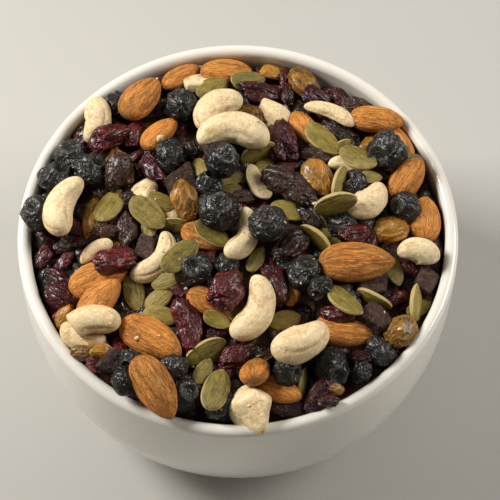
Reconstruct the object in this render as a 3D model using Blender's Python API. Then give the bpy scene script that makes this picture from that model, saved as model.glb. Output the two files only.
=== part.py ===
"""Bowl of trail mix: a white ceramic bowl heaped with nuts, seeds, dried fruit and chocolate.

Metres, +Z up. The origin is the middle of the foot, on the surface that the bowl stands on, and the
viewer stands on the -Y side. The bowl is one turned shell. The trail mix is one heap: a core that
fills the bowl, with the pieces that lie on top fused to it, each at its true size.
"""

import math
from collections import namedtuple

import bmesh
import bpy
import numpy as np
from mathutils import Matrix, Vector

MM = 0.001

# Bowl
RIM_HEIGHT = 70 * MM
RIM_RADIUS = 70 * MM
LIP_RADIUS = 2.1 * MM
WALL = 4.2 * MM
FLOOR_THICKNESS = 5.5 * MM
FOOT_OUTER = 39 * MM
FOOT_INNER = 35 * MM
FOOT_RECESS = 1.6 * MM
BOWL_SIDES = 48

# Heap
GAP = 0.5 * MM  # between the mix and the bowl
BED_CROWN = 3 * MM  # the middle of the bed that the pieces lie on, against the rim
BED_FALL = 9 * MM  # how far the bed falls from its middle to the wall
BED_DIP = 6 * MM  # how much lower it lies at the back, where the bowl's wall shows
DIP_HEADING = math.radians(70)
DIP_NARROWNESS = 8
MOST_SLOPE = 0.45  # a piece leans with the heap under it, no more than this
NEST = 0.85  # a piece counts this much smaller as it settles, as soft fruit gives
SINK = 1.2 * MM  # how far it then sinks into what it lies on
ROOT, ROOT_SHARE = 1.1 * MM, 0.4  # a solid's underside reaches down by this, and by its thickness
SHOWN_LENGTH = 7.5 * MM  # shorter pieces than this are left off the solid
MIX_FACES = 10650  # triangles of the finished heap
HIGHEST = 20 * MM  # no piece lies higher above the rim
REST_STEP = 0.4 * MM
CORE_RINGS = 15
CORE_SIDES = 48
CORE_REACH = 2.5 * MM  # the core's top is the heap's lowest height this far around
CORE_UNDER = 0.4 * MM  # and this much lower
CELL = 0.5 * MM  # grid on which the heap's height is kept

# How the photograph was taken, for placing pieces by the pixel where they show
PHOTO_MIDDLE = 250
PHOTO_FOCAL = 2217.6  # in pixels
VIEW_ELEVATION = math.radians(63.1)
VIEW_DISTANCE = 700 * MM
VIEW_AIM = np.array([3.83 * MM, -7.03 * MM, RIM_HEIGHT])

# Each kind: width and thickness against length, sides and rings of its solid, and colour
Kind = namedtuple("Kind", "width thickness sides rings colour")
KINDS = {
    "almond": Kind(0.56, 0.38, 6, 4, (0.45, 0.19, 0.06)),
    "cashew": Kind(0.36, 0.33, 6, 6, (0.78, 0.63, 0.39)),
    "half": Kind(0.21, 0.17, 5, 5, (0.80, 0.66, 0.42)),
    "broken": Kind(0.38, 0.35, 6, 6, (0.78, 0.63, 0.39)),
    "bit": Kind(0.85, 0.60, 6, 3, (0.80, 0.66, 0.42)),
    "blueberry": Kind(0.96, 0.82, 6, 4, (0.012, 0.013, 0.018)),
    "cranberry": Kind(0.58, 0.45, 6, 3, (0.10, 0.010, 0.014)),
    "raisin": Kind(0.62, 0.48, 6, 3, (0.045, 0.018, 0.010)),
    "sultana": Kind(0.66, 0.46, 6, 4, (0.42, 0.21, 0.03)),
    "pepita": Kind(0.54, 0.19, 5, 3, (0.26, 0.25, 0.07)),
    "chunk": Kind(0.78, 0.55, 4, 2, (0.045, 0.022, 0.016)),
}
# The bend of the cashews, whole, in halves and broken, from one end to the other
BEND = {"cashew": math.radians(140), "half": math.radians(65), "broken": math.radians(105)}
BROKEN_FROM = 0.3  # the share of its length that a broken one has lost
INNER_REACH = 0.85  # its inner side reaches this share of the way to the middle of the bend
FLAT_END = 0.004  # where the first ring of a broken one lies along it, next to its flat end
# Where a nut or seed is widest along its length, and how pointed its tip is
OUTLINE = {"almond": (0.43, 0.72), "pepita": (0.46, 0.64)}
# How far the skin of a shrivelled piece stands out, and how many broad waves it has, how close
SHRIVELLED = {"blueberry": 0.05, "cranberry": 0.16, "raisin": 0.13, "sultana": 0.10, "bit": 0.10}
LUMP_WAVES, LUMP_PITCH = 5, 2.2

# A piece that shows. across and down are the photograph's pixel at its middle. turn is the way its
# long axis points there, anticlockwise from the right, in degrees; an almond's points to its tip and
# a cashew's bulge is to the left of it. length is in millimetres. pitch lifts the long axis, roll
# turns the piece about it, and fat is its girth against its kind's. A piece lies at least as high
# above the rim as lowest, in millimetres, which puts some of them on the lip.
Item = namedtuple(
    "Item", "kind across down turn length pitch roll fat lowest", defaults=(0, 0, 1, -12)
)

LOWER_PIECES = (
    Item("raisin", 148, 76, 20, 10),
    Item("pepita", 148, 124, 0, 11),
    Item("raisin", 159, 112, 30, 12),
    Item("blueberry", 119, 106, 0, 11.5),
    Item("blueberry", 68, 156, 0, 12),
    Item("blueberry", 57, 179, 0, 12),
    Item("blueberry", 92, 171, 0, 12),
    Item("sultana", 119, 166, -72, 14),
    Item("raisin", 152, 151, 60, 9),
    Item("cranberry", 138, 155, 30, 7),
    Item("cranberry", 156, 172, -52, 14),
    Item("bit", 201, 84, 15, 10),
    Item("sultana", 247, 115, -10, 12),
    Item("bit", 276, 115, -20, 11),
    Item("chunk", 268, 74, 0, 8),
    Item("sultana", 274, 67, 0, 9),
    Item("cranberry", 289, 73, 80, 9.5),
    Item("cranberry", 289, 94, 75, 10),
    Item("sultana", 307, 77, -50, 14),
    Item("cranberry", 334, 90, -30, 10),
    Item("cranberry", 314, 96, -10, 10.5),
    Item("cranberry", 340, 99, -25, 10),
    Item("raisin", 366, 102, -15, 11.5),
    Item("almond", 400, 145, -60, 19),
    Item("pepita", 414, 160, 20, 9),
    Item("raisin", 338, 131, -30, 13),
    Item("raisin", 314, 156, -10, 10),
    Item("cashew", 349, 170, -25, 17),
    Item("blueberry", 353, 184, 0, 9.5),
    Item("pepita", 371, 177, 10, 8),
    Item("sultana", 95, 220, 80, 14.5),
    Item("raisin", 107, 232, 0, 8.5),
    Item("raisin", 127, 231, 85, 11.5),
    Item("raisin", 66, 245, 5, 9),
    Item("raisin", 131, 198, 30, 11),
    Item("bit", 147, 190, 45, 8),
    Item("blueberry", 208, 184, 0, 10),
    Item("pepita", 231, 179, 20, 9),
    Item("pepita", 231, 190, 15, 8),
    Item("raisin", 243, 197, 0, 8),
    Item("pepita", 264, 165, 50, 9),
    Item("bit", 170, 215, 0, 6),
    Item("pepita", 158, 202, -15, 12.5),
    Item("pepita", 289, 211, -15, 12.5),
    Item("almond", 205, 237, -20, 16),
    Item("raisin", 190, 151, -50, 9.5),
    Item("blueberry", 343, 224, 0, 10.5),
    Item("cranberry", 357, 233, 10, 10),
    Item("raisin", 311, 217, -60, 11.5),
    Item("pepita", 324, 234, 0, 7),
    Item("pepita", 256, 260, 60, 9.5),
    Item("blueberry", 192, 268, -70, 12.7, -20),
    Item("pepita", 166, 281, 10, 10),
    Item("pepita", 159, 299, 30, 10.5),
    Item("pepita", 161, 316, -12, 11.5),
    Item("cranberry", 180, 292, -40, 8),
    Item("cranberry", 188, 322, -75, 17),
    Item("almond", 210, 304, -25, 16),
    Item("pepita", 217, 320, -20, 9),
    Item("pepita", 236, 309, 65, 9),
    Item("cranberry", 276, 288, -80, 15.5),
    Item("blueberry", 305, 274, 0, 12.2),
    Item("blueberry", 321, 288, 0, 8.5),
    Item("chunk", 372, 285, 5, 11.5),
    Item("cranberry", 397, 298, 30, 8),
    Item("chunk", 432, 283, 60, 10),
    Item("pepita", 394, 271, -70, 10.5),
    Item("cranberry", 42, 256, 60, 9.5),
    Item("cranberry", 64, 263, 40, 9.5),
    Item("cranberry", 61, 282, -40, 11),
    Item("cranberry", 63, 299, -20, 12),
    Item("sultana", 65, 317, 60, 8.5),
    Item("cashew", 83, 335, 160, 18, 0, 0, 1.15),
    Item("sultana", 85, 352, 0, 8.5),
    Item("sultana", 102, 353, 0, 8),
    Item("cranberry", 95, 365, -30, 8),
    Item("chunk", 113, 360, 60, 9.5),
    Item("blueberry", 131, 362, 0, 8.5),
    Item("blueberry", 127, 381, 0, 9.5),
    Item("blueberry", 186, 393, 0, 12.5),
    Item("blueberry", 174, 369, 0, 9.5),
    Item("blueberry", 217, 413, 0, 11),
    Item("cranberry", 232, 356, 25, 11.5),
    Item("cranberry", 212, 336, 20, 8),
    Item("cranberry", 288, 410, -5, 12, 0, 0, 1.1),
    Item("almond", 279, 391, -20, 15),
    Item("blueberry", 287, 371, 0, 10),
    Item("raisin", 268, 357, 20, 9),
    Item("blueberry", 331, 367, 0, 13),
    Item("blueberry", 363, 375, 0, 9.5),
    Item("blueberry", 384, 356, 0, 10.5),
    Item("cranberry", 361, 357, 0, 7),
    Item("cranberry", 320, 395, 58, 11.5),
    Item("sultana", 335, 388, 0, 6),
    Item("cranberry", 330, 401, 0, 7),
    Item("pepita", 353, 344, -10, 8),
    Item("almond", 346, 331, -4, 20),
    Item("cranberry", 337, 315, -15, 9.5),
    Item("chunk", 374, 319, -40, 11.5),
    Item("sultana", 400, 331, 45, 12.5, 0, 0, 1.15),
    Item("pepita", 427, 312, 30, 9),
    Item("pepita", 285, 320, 12, 10.5),
)

MIDDLE_PIECES = (
    Item("almond", 141, 98, 45, 17.5, 15, 0, 1.2),
    Item("almond", 181, 76, 35, 14.5),
    Item("almond", 226, 66, 13, 18),
    Item("pepita", 247, 81, 12, 12.5),
    Item("pepita", 213, 87, 25, 12),
    Item("cranberry", 263, 93, -5, 14),
    Item("cranberry", 282, 142, -70, 17),
    Item("almond", 305, 129, -60, 15.5),
    Item("almond", 377, 120, -8, 18),
    Item("blueberry", 387, 152, -135, 14, -38),
    Item("pepita", 258, 152, 20, 13, 0, 70),
    Item("blueberry", 181, 106, 0, 11.5),
    Item("almond", 160, 134, 42, 15.5),
    Item("blueberry", 171, 157, 0, 12),
    Item("cashew", 219, 112, 40, 23, 0, 0, 1.12),
    Item("chunk", 181, 181, 25, 11.5),
    Item("raisin", 284, 181, -15, 15),
    Item("raisin", 299, 193, -25, 13),
    Item("sultana", 319, 177, -55, 14),
    Item("pepita", 342, 149, 35, 10.5, 0, 50),
    Item("almond", 408, 179, 60, 16, 25, 0, 1.15),
    Item("almond", 427, 219, 86, 16.5, 0, 0, 1.1),
    Item("cashew", 417, 255, -8, 17, 0, 50, 1.4),
    Item("cashew", 92, 121, 80, 19, 12, 180, 1.3),
    Item("cranberry", 107, 138, 33, 15),
    Item("cranberry", 134, 134, 70, 11.5),
    Item("raisin", 118, 171, 70, 11.5, 0, 0, 1.25),
    Item("pepita", 149, 226, 88, 9),
    Item("chunk", 146, 249, 80, 9.5),
    Item("blueberry", 37, 213, 100, 13.5, -5, 0, 0.78, 3),
    Item("almond", 99, 279, 18, 20),
    Item("almond", 100, 301, 42, 18),
    Item("pepita", 134, 293, -75, 12),
    Item("pepita", 212, 234, -30, 12.5),
    Item("raisin", 290, 246, 42, 14),
    Item("pepita", 175, 225, -5, 9.5, 0, 50),
    Item("almond", 151, 339, -31, 22.5),
    Item("almond", 154, 388, -58, 22),
    Item("pepita", 203, 372, 60, 9.5),
    Item("almond", 256, 371, 100, 15, -48, 0, 1.2),
    Item("bit", 250, 405, 75, 13.5),
    Item("cashew", 300, 337, -158, 23.5, 0, 0, 1.4),
    Item("pepita", 303, 382, 80, 9.5, 0, 45),
    Item("almond", 357, 263, 4, 24.5, 0, 0, 0.98),
    Item("sultana", 391, 230, 20, 13, 0, 0, 1.15),
    Item("blueberry", 405, 207, 0, 10.5),
    Item("pepita", 416, 302, 85, 12.5, 0, 52),
    Item("pepita", 345, 302, -38, 13.5),
    Item("pepita", 374, 300, -20, 12.5, 0, 76),
)

UPPER_PIECES = (
    Item("cashew", 232, 136, 2, 28, 0, 0, 1.0),
    Item("half", 259, 181, -62, 18.5, 0, 160, 1.45),
    Item("half", 330, 114, -22, 22, 0, 0, 1.25),
    Item("pepita", 323, 140, -42, 14.5),
    Item("pepita", 359, 159, -32, 14),
    Item("blueberry", 221, 159, -90, 11.8, -11),
    Item("pepita", 200, 168, -65, 9),
    Item("sultana", 185, 201, -80, 13.5, 0, 0, 1.05),
    Item("blueberry", 219, 211, -70, 13.6, -6),
    Item("cashew", 240, 233, -112, 21, 0, 0, 0.95),
    Item("blueberry", 268, 223, 180, 12.8, -20),
    Item("cashew", 366, 197, -143, 19.5, 0, 0, 1.25),
    Item("pepita", 339, 183, 70, 12, 0, 72),
    Item("pepita", 336, 203, 5, 14.5, 0, 76),
    Item("pepita", 318, 239, -38, 14, 0, 76),
    Item("cashew", 67, 205, -107, 25.5, 0, 210, 1.1),
    Item("pepita", 110, 206, 55, 14),
    Item("pepita", 148, 213, -40, 14.5),
    Item("half", 96, 252, 27, 15.5, 0, 20, 1.5),
    Item("cranberry", 113, 262, 20, 14),
    Item("cashew", 154, 257, -128, 23, 0, 0, 0.88),
    Item("pepita", 180, 256, 38, 14.5, 0, 32),
    Item("cranberry", 225, 288, 50, 16.5, 0, 0, 1.4),
    Item("cashew", 250, 307, -114, 25.5, 0, 0, 0.98),
    Item("pepita", 206, 353, 28, 14.5, 0, 35),
    Item("pepita", 216, 390, 72, 15),
    Item("broken", 88, 327, 14, 25.5, 0, 0, 0.92),
)

Placed = namedtuple("Placed", "kind length width thickness place rotation seed")
Ball = namedtuple("Ball", "centre axes")


def sight_line(across, down, height):
    """The point at this height that shows at this pixel of the photograph."""
    back = np.array([0, -math.cos(VIEW_ELEVATION), math.sin(VIEW_ELEVATION)])
    up = np.array([0, math.sin(VIEW_ELEVATION), math.cos(VIEW_ELEVATION)])
    eye = VIEW_AIM + back * VIEW_DISTANCE
    right = np.array([1.0, 0, 0])
    ray = right * (across - PHOTO_MIDDLE) - up * (down - PHOTO_MIDDLE) - back * PHOTO_FOCAL
    return eye + ray * (height - eye[2]) / ray[2]


def bed_height(x, y):
    """The bed's height: a low dome, with a dip on one side that deepens towards the wall."""
    share = np.hypot(x, y) / RIM_RADIUS
    towards_dip = np.clip(np.cos(np.arctan2(y, x) - DIP_HEADING), 0, 1) ** DIP_NARROWNESS
    return RIM_HEIGHT + BED_CROWN - share**2 * (BED_FALL + BED_DIP * towards_dip)


def arc_place(t, kind, length, girth):
    """A cashew's middle line: an arc whose ends lie on the local X axis's two sides.

    Returns the point at t, 0 at the tail and 1 at the head, the way out of the bend there, and the
    arc's radius.
    """
    bend = BEND[kind]
    radius = (length - 0.8 * girth) / 2 / math.sin(bend / 2)
    angle = (t - 0.5) * bend
    middle = radius * (1 + math.cos(bend / 2)) / 2
    point = np.stack([radius * np.sin(angle), radius * np.cos(angle) - middle, 0 * angle], -1)
    outwards = np.stack([np.sin(angle), np.cos(angle), 0 * angle], -1)
    return point, outwards, radius


def cashew_girth(t):
    """A cashew's girth along it: round ends, the head thicker than the tail."""
    return (0.84 + 0.28 * t) * np.sqrt(np.clip(1 - np.abs(2 * t - 1) ** 3.2, 0, 1))


def balls_of(kind, length, width, thickness):
    """Ellipsoids that stand for the piece, in its own frame, for finding how it lies."""
    if kind in BEND:
        balls = []
        for t in (0.1, 0.3, 0.5, 0.7, 0.9):
            point = arc_place(np.array(t), kind, length, width)[0]
            grown = (0.40 + 0.14 * t) * NEST
            axes = (width * grown, width * grown, thickness * grown)
            balls.append(Ball(point, np.array(axes)))
        return balls
    return [Ball(np.zeros(3), np.array([length, width, thickness]) / 2 * NEST)]


def turned(turn, pitch, roll):
    """The rotation of a piece that points turn degrees round in the photograph."""
    across, up = math.cos(math.radians(turn)), math.sin(math.radians(turn))
    heading = math.atan2(up / math.sin(VIEW_ELEVATION), across)
    spin = Matrix.Rotation(heading, 3, "Z")
    lift = Matrix.Rotation(-math.radians(pitch), 3, "Y")
    return np.array(spin @ lift @ Matrix.Rotation(math.radians(roll), 3, "X"))


class Heap:
    """The heap's height on a grid. Each piece is let down on it until it touches."""

    def __init__(self):
        self.low = -RIM_RADIUS - 4 * MM
        line = np.arange(self.low, -self.low, CELL)
        self.x, self.y = np.meshgrid(line, line, indexing="ij")
        radius = np.hypot(self.x, self.y)
        self.inside = radius < RIM_RADIUS - WALL
        self.height = np.where(self.inside, bed_height(self.x, self.y), 0.0)
        lip = np.clip(LIP_RADIUS**2 - (radius - RIM_RADIUS + LIP_RADIUS) ** 2, 0, None)
        self.rim = np.where(lip > 0, RIM_HEIGHT - LIP_RADIUS + np.sqrt(lip), 0)

    def window(self, middle, reach):
        """The part of the grid within reach of this place."""
        first = ((middle[:2] - reach - self.low) / CELL).astype(int)
        last = ((middle[:2] + reach - self.low) / CELL).astype(int) + 2
        first, last = np.clip(first, 0, len(self.x)), np.clip(last, 0, len(self.x))
        return slice(first[0], last[0]), slice(first[1], last[1])

    def shadow(self, ball, rotation, place):
        """The cells under one ellipsoid, with its lowest and highest point over each."""
        centre = rotation @ ball.centre + place
        window = self.window(centre, ball.axes.max())
        dx, dy = self.x[window] - centre[0], self.y[window] - centre[1]
        m = rotation @ np.diag(1 / ball.axes**2) @ rotation.T
        b = m[0, 2] * dx + m[1, 2] * dy
        c = m[0, 0] * dx**2 + 2 * m[0, 1] * dx * dy + m[1, 1] * dy**2 - 1
        inside = b * b - m[2, 2] * c
        root = np.sqrt(np.clip(inside, 0, None))
        low, high = ((-b + side * root) / m[2, 2] + centre[2] for side in (-1, 1))
        return window, inside > 0, low, high

    def leaning(self, place, reach):
        """The heap's own upward direction under a piece, no steeper than MOST_SLOPE."""
        window = self.window(place, reach)
        near = self.inside[window]
        dx, dy = self.x[window][near] - place[0], self.y[window][near] - place[1]
        if len(dx) < 12:
            return Vector((0, 0, 1))
        known = np.stack([dx, dy, np.ones_like(dx)], -1)
        slope = np.linalg.lstsq(known, self.height[window][near], rcond=None)[0][:2]
        slope *= min(1, MOST_SLOPE / max(math.hypot(*slope), 1e-9))
        return Vector((-slope[0], -slope[1], 1)).normalized()

    def blocked(self, balls, rotation, place):
        """Whether the piece would be too deep in the heap, or in the bowl's lip."""
        for ball in balls:
            window, covered, low, _ = self.shadow(ball, rotation, place)
            thin = ball.axes.min()
            if (low + min(SINK, thin) < self.height[window])[covered].any():
                return True
            true_low = low - thin * (1 / NEST - 1) - GAP
            if (true_low < self.rim[window])[covered & (self.rim[window] > 0)].any():
                return True
        return False

    def kept_inside(self, balls, rotation, place):
        """The place moved towards the middle, until the piece is within the wall below the rim."""
        for _ in range(3):
            out = 0.0
            for ball in balls:
                centre = rotation @ ball.centre + place
                away = math.hypot(centre[0], centre[1])
                if centre[2] > RIM_HEIGHT or away < GAP:
                    continue
                way = np.array([centre[0], centre[1], 0]) / away
                reach = np.linalg.norm(way @ rotation * ball.axes) / NEST
                out = max(out, away + reach - (RIM_RADIUS - WALL - GAP))
            if out <= 0:
                break
            place = place * (1 - np.array([1, 1, 0]) * out / math.hypot(place[0], place[1]))
        return place

    def rest(self, item, balls, rotation):
        """The lowest place on the piece's line of sight that nothing blocks."""
        for height in np.arange(RIM_HEIGHT + item.lowest * MM, RIM_HEIGHT + HIGHEST, REST_STEP):
            place = sight_line(item.across, item.down, height)
            place = self.kept_inside(balls, rotation, place)
            if not self.blocked(balls, rotation, place):
                break
        return place

    def lay(self, item, seed):
        """Lays one piece at its pixel, on what is there already, and returns where it lies."""
        kind = KINDS[item.kind]
        draw = np.random.default_rng(seed)
        length = item.length * MM
        width = length * kind.width * item.fat * draw.uniform(0.96, 1.05)
        thickness = length * kind.thickness * item.fat * draw.uniform(0.96, 1.05)
        turn, pitch = item.turn, item.pitch
        if item.kind == "blueberry" and not pitch:
            turn, pitch = draw.uniform(0, 360), -draw.uniform(10, 75)
        balls = balls_of(item.kind, length, width, thickness)
        rotation = own = turned(turn, pitch, item.roll)
        for _ in range(2):
            place = self.rest(item, balls, rotation)
            tilt = Vector((0, 0, 1)).rotation_difference(self.leaning(place, 0.4 * length))
            rotation = np.array(tilt.to_matrix()) @ own
        place = self.rest(item, balls, rotation)
        for ball in balls:
            window, covered, _, high = self.shadow(ball, rotation, place)
            part = self.height[window]
            part[covered] = np.maximum(part, high)[covered]
        return Placed(item.kind, length, width, thickness, place, rotation, seed)

    def lowest_around(self, reach):
        """The heap's lowest height in a square round each cell, with the bowl's wall left out."""
        lowest = np.where(self.inside, self.height, RIM_HEIGHT + HIGHEST)
        cells = int(reach / CELL)
        for axis in (0, 1):
            shifted = [np.roll(lowest, shift, axis) for shift in range(-cells, cells + 1)]
            lowest = np.min(shifted, axis=0)
        return lowest

    def sampled(self, grid, x, y):
        """The grid's value at the nearest cell."""
        return grid[round((x - self.low) / CELL), round((y - self.low) / CELL)]


def arranged():
    """Every piece that shows, in its place, and the heap that they make."""
    heap = Heap()
    shown = LOWER_PIECES + MIDDLE_PIECES + UPPER_PIECES
    return [heap.lay(item, 100 + i) for i, item in enumerate(shown)], heap


def teardrop(s, widest, point):
    """Half width along a nut or seed, from 0 at its blunt end over 1 at the widest place to 0.

    Both ends are superellipses, the tip with the exponent point, which is 0.5 on a round one.
    """
    blunt = np.clip(1 - np.abs(1 - s / widest) ** 2.3, 0, 1) ** 0.48
    tip = np.clip(1 - (np.clip(s - widest, 0, 1) / (1 - widest)) ** 2.2, 0, 1) ** point
    return np.where(s < widest, blunt, tip)


def lumps(direction, seed, size):
    """How far a shrivelled fruit's skin stands out: a few broad waves over the sphere."""
    draw = np.random.default_rng(seed + 1)
    total = np.zeros(direction.shape[:-1])
    for _ in range(LUMP_WAVES):
        wave = draw.normal(size=3) * LUMP_PITCH
        total += np.sin(direction @ wave + draw.uniform(0, 2 * math.pi))
    return 1 + size * total / 2


def form(piece, s, v):
    """A piece's surface in its own frame: s runs from 0 to 1 along it, and v round it."""
    s, v = np.broadcast_arrays(s, v)
    length, half_width, half_thick = piece.length, piece.width / 2, piece.thickness / 2
    if piece.kind in BEND:
        t = BROKEN_FROM + (1 - BROKEN_FROM) * s if piece.kind == "broken" else s
        girth = cashew_girth(t)
        if piece.kind == "broken":
            girth = np.where(s <= 0, 0, girth)
        point, outwards, radius = arc_place(t, piece.kind, length, piece.width)
        rise = np.sin(v)
        if piece.kind == "half":
            rise = np.maximum(rise, -0.1)
        across = np.maximum(half_width * girth * np.cos(v), -INNER_REACH * radius)
        point = point + outwards * across[..., None]
        point[..., 2] += half_thick * girth * rise
        return point
    if piece.kind in ("almond", "pepita"):
        across = teardrop(s, *OUTLINE[piece.kind])
        x = (s - 0.5) * length
        return np.stack(
            [x, half_width * across * np.cos(v), half_thick * across**0.85 * np.sin(v)], -1
        )
    angle = s * math.pi
    round_ = np.stack(
        [-np.cos(angle), np.sin(angle) * np.cos(v), np.sin(angle) * np.sin(v)], -1
    )
    if piece.kind == "chunk":
        round_ = np.sign(round_) * np.abs(round_) ** 0.5
    out = lumps(round_, piece.seed, SHRIVELLED.get(piece.kind, 0.04))
    return round_ * out[..., None] * np.array([length / 2, half_width, half_thick])


def piece_mesh(piece):
    """The piece's solid, in its place: rings of points between two poles, rooted below."""
    kind = KINDS[piece.kind]
    rings, sides = kind.rings, kind.sides
    s = (1 - np.cos(np.pi * np.arange(1, rings + 1) / (rings + 1))) / 2
    if piece.kind == "broken":
        s[0] = FLAT_END
    v = 2 * np.pi * (np.arange(sides) + 0.25) / sides
    grid = form(piece, s[:, None], v[None, :])
    poles = form(piece, np.array([0.0, 1.0]), np.array([0.0, 0.0]))
    if piece.kind == "broken":
        poles[0] = grid[0].mean(axis=0)
    points = np.concatenate([grid.reshape(-1, 3), poles]) @ piece.rotation.T
    points[:, 2] -= (ROOT + ROOT_SHARE * piece.thickness) * (points[:, 2] < 0)
    points += piece.place
    mesh = bmesh.new()
    verts = [mesh.verts.new(p) for p in points]
    first, last = verts[-2], verts[-1]
    for i in range(sides):
        j = (i + 1) % sides
        mesh.faces.new((first, verts[j], verts[i]))
        mesh.faces.new((last, verts[(rings - 1) * sides + i], verts[(rings - 1) * sides + j]))
        for ring in range(rings - 1):
            a, b = ring * sides, (ring + 1) * sides
            mesh.faces.new((verts[a + i], verts[a + j], verts[b + j], verts[b + i]))
    bmesh.ops.recalc_face_normals(mesh, faces=mesh.faces)
    return mesh


def bezier(a, b, c, d, count):
    """Points along a cubic curve from a to d, without a."""
    t = np.linspace(0, 1, count + 1)[1:, None]
    a, b, c, d = (np.array(p, float) for p in (a, b, c, d))
    return a * (1 - t) ** 3 + 3 * b * t * (1 - t) ** 2 + 3 * c * t**2 * (1 - t) + d * t**3


def arc(middle, radius, start, end, count):
    """Points along an arc in the profile's plane, angles in degrees from outwards to up."""
    angle = np.radians(np.linspace(start, end, count))
    return np.stack([middle[0] + radius * np.cos(angle), middle[1] + radius * np.sin(angle)], -1)


def inside_profile(grown=0.0):
    """The bowl's inner surface, from its middle up to the lip, moved in by grown."""
    middle = (0, FLOOR_THICKNESS + grown)
    wall = RIM_RADIUS - WALL - grown
    floor = bezier(
        middle,
        (FOOT_OUTER - 4 * MM, middle[1]),
        (wall - 9 * MM, 9 * MM + grown),
        (wall - 3.5 * MM, RIM_HEIGHT - 44 * MM),
        5,
    )
    side = bezier(
        floor[-1],
        (wall - 0.4 * MM, RIM_HEIGHT - 34 * MM),
        (wall, RIM_HEIGHT - 20 * MM),
        (wall, RIM_HEIGHT - LIP_RADIUS - MM),
        3,
    )
    return np.concatenate([[middle], floor, side])


def bowl_profile(grown=0.0):
    """The bowl's section as radius and height, down its outside and up its inside.

    grown moves the inside and the lip out of the bowl's own wall, to cut clearance into the mix.
    """
    lip = (RIM_RADIUS - LIP_RADIUS, RIM_HEIGHT - LIP_RADIUS)
    round_lip = arc(lip, LIP_RADIUS + grown, 90, 0, 4)
    side = bezier(
        round_lip[-1],
        (RIM_RADIUS + 0.9 * MM, RIM_HEIGHT - 28 * MM),
        (RIM_RADIUS - 1.0 * MM, RIM_HEIGHT - 44 * MM),
        (RIM_RADIUS - 8.5 * MM, RIM_HEIGHT - 55 * MM),
        6,
    )
    belly = bezier(
        side[-1],
        (RIM_RADIUS - 13.5 * MM, RIM_HEIGHT - 62.5 * MM),
        (FOOT_OUTER + 7 * MM, 3.4 * MM),
        (FOOT_OUTER, 2.6 * MM),
        4,
    )
    foot = [
        (FOOT_OUTER - 0.4 * MM, 0.4 * MM),
        (FOOT_OUTER - 0.8 * MM, 0),
        (FOOT_INNER + 0.5 * MM, 0),
        (FOOT_INNER, FOOT_RECESS),
        (0, FOOT_RECESS),
    ]
    over = arc(lip, LIP_RADIUS + grown, 180, 115, 3)
    return np.concatenate([round_lip, side, belly, foot, inside_profile(grown), over])


def material(name, colour, roughness):
    made = bpy.data.materials.new(name)
    made.use_nodes = True
    shader = made.node_tree.nodes["Principled BSDF"]
    shader.inputs["Base Color"].default_value = (*colour, 1)
    shader.inputs["Roughness"].default_value = roughness
    shader.inputs["Metallic"].default_value = 0
    made.diffuse_color = (*colour, 1)
    return made


def new_object(name, mesh, shade, collection=None):
    """An object that holds this bmesh and one material."""
    data = bpy.data.meshes.new(name)
    mesh.to_mesh(data)
    mesh.free()
    data.materials.append(shade)
    made = bpy.data.objects.new(name, data)
    (collection or bpy.context.scene.collection).objects.link(made)
    return made


def ring_of(mesh, radius, height, sides):
    """A ring of points round the Z axis, or one point where the radius is nothing."""
    ring = []
    for i in range(sides if radius > 0 else 1):
        angle = 2 * math.pi * i / sides
        x, y = radius * math.cos(angle), radius * math.sin(angle)
        ring.append(mesh.verts.new((x, y, height(x, y) if callable(height) else height)))
    return ring


def bridge(mesh, ring, other):
    """The faces between two rings, either of which may be one point."""
    sides = max(len(ring), len(other))
    for i in range(sides if sides > 1 else 0):
        j = (i + 1) % sides
        corners = [ring[i % len(ring)], ring[j % len(ring)]]
        corners += [other[j % len(other)], other[i % len(other)]]
        mesh.faces.new(list(dict.fromkeys(corners)))


def turned_object(name, profile, sides, shade):
    """A closed section, swept round the Z axis."""
    mesh = bmesh.new()
    rings = [ring_of(mesh, radius, height, sides) for radius, height in profile]
    for ring, other in zip(rings, rings[1:] + rings[:1]):
        bridge(mesh, ring, other)
    bmesh.ops.recalc_face_normals(mesh, faces=mesh.faces)
    return new_object(name, mesh, shade)


def smooth(obj, degrees):
    obj.data.shade_smooth()
    obj.data.set_sharp_from_angle(angle=math.radians(degrees))


def build_bowl():
    glaze = material("white_glaze", (0.80, 0.78, 0.72), 0.25)
    bowl = turned_object("bowl", bowl_profile(), BOWL_SIDES, glaze)
    smooth(bowl, 40)
    return bowl


def core_mesh(heap):
    """The core: the bowl's inside with a gap round it, filled up to the hollows between pieces."""
    lowest = heap.lowest_around(CORE_REACH) - CORE_UNDER
    mesh = bmesh.new()
    rings = [
        ring_of(mesh, radius, height, CORE_SIDES)
        for radius, height in inside_profile(2 * GAP)
        if height < RIM_HEIGHT + BED_CROWN - BED_FALL - BED_DIP - 2 * MM
    ]
    edge = RIM_RADIUS - WALL - 2 * GAP
    for k in range(CORE_RINGS, -1, -1):
        top = edge * k / CORE_RINGS
        rings.append(
            ring_of(mesh, top, lambda x, y: heap.sampled(lowest, x, y), CORE_SIDES)
        )
    for ring, other in zip(rings, rings[1:]):
        bridge(mesh, ring, other)
    bmesh.ops.recalc_face_normals(mesh, faces=mesh.faces)
    return mesh


def keep_largest_shell(obj):
    """Drops loose scraps and the walls of sealed hollows, which leaves one solid."""
    mesh = bmesh.new()
    mesh.from_mesh(obj.data)
    left, shells = set(mesh.verts), []
    while left:
        shell, front = set(), [left.pop()]
        while front:
            vert = front.pop()
            shell.add(vert)
            for edge in vert.link_edges:
                other = edge.other_vert(vert)
                if other in left:
                    left.remove(other)
                    front.append(other)
        shells.append(shell)
    shells.sort(key=len)
    for shell in shells[:-1]:
        bmesh.ops.delete(mesh, geom=list(shell), context="VERTS")
    mesh.to_mesh(obj.data)
    mesh.free()


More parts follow.
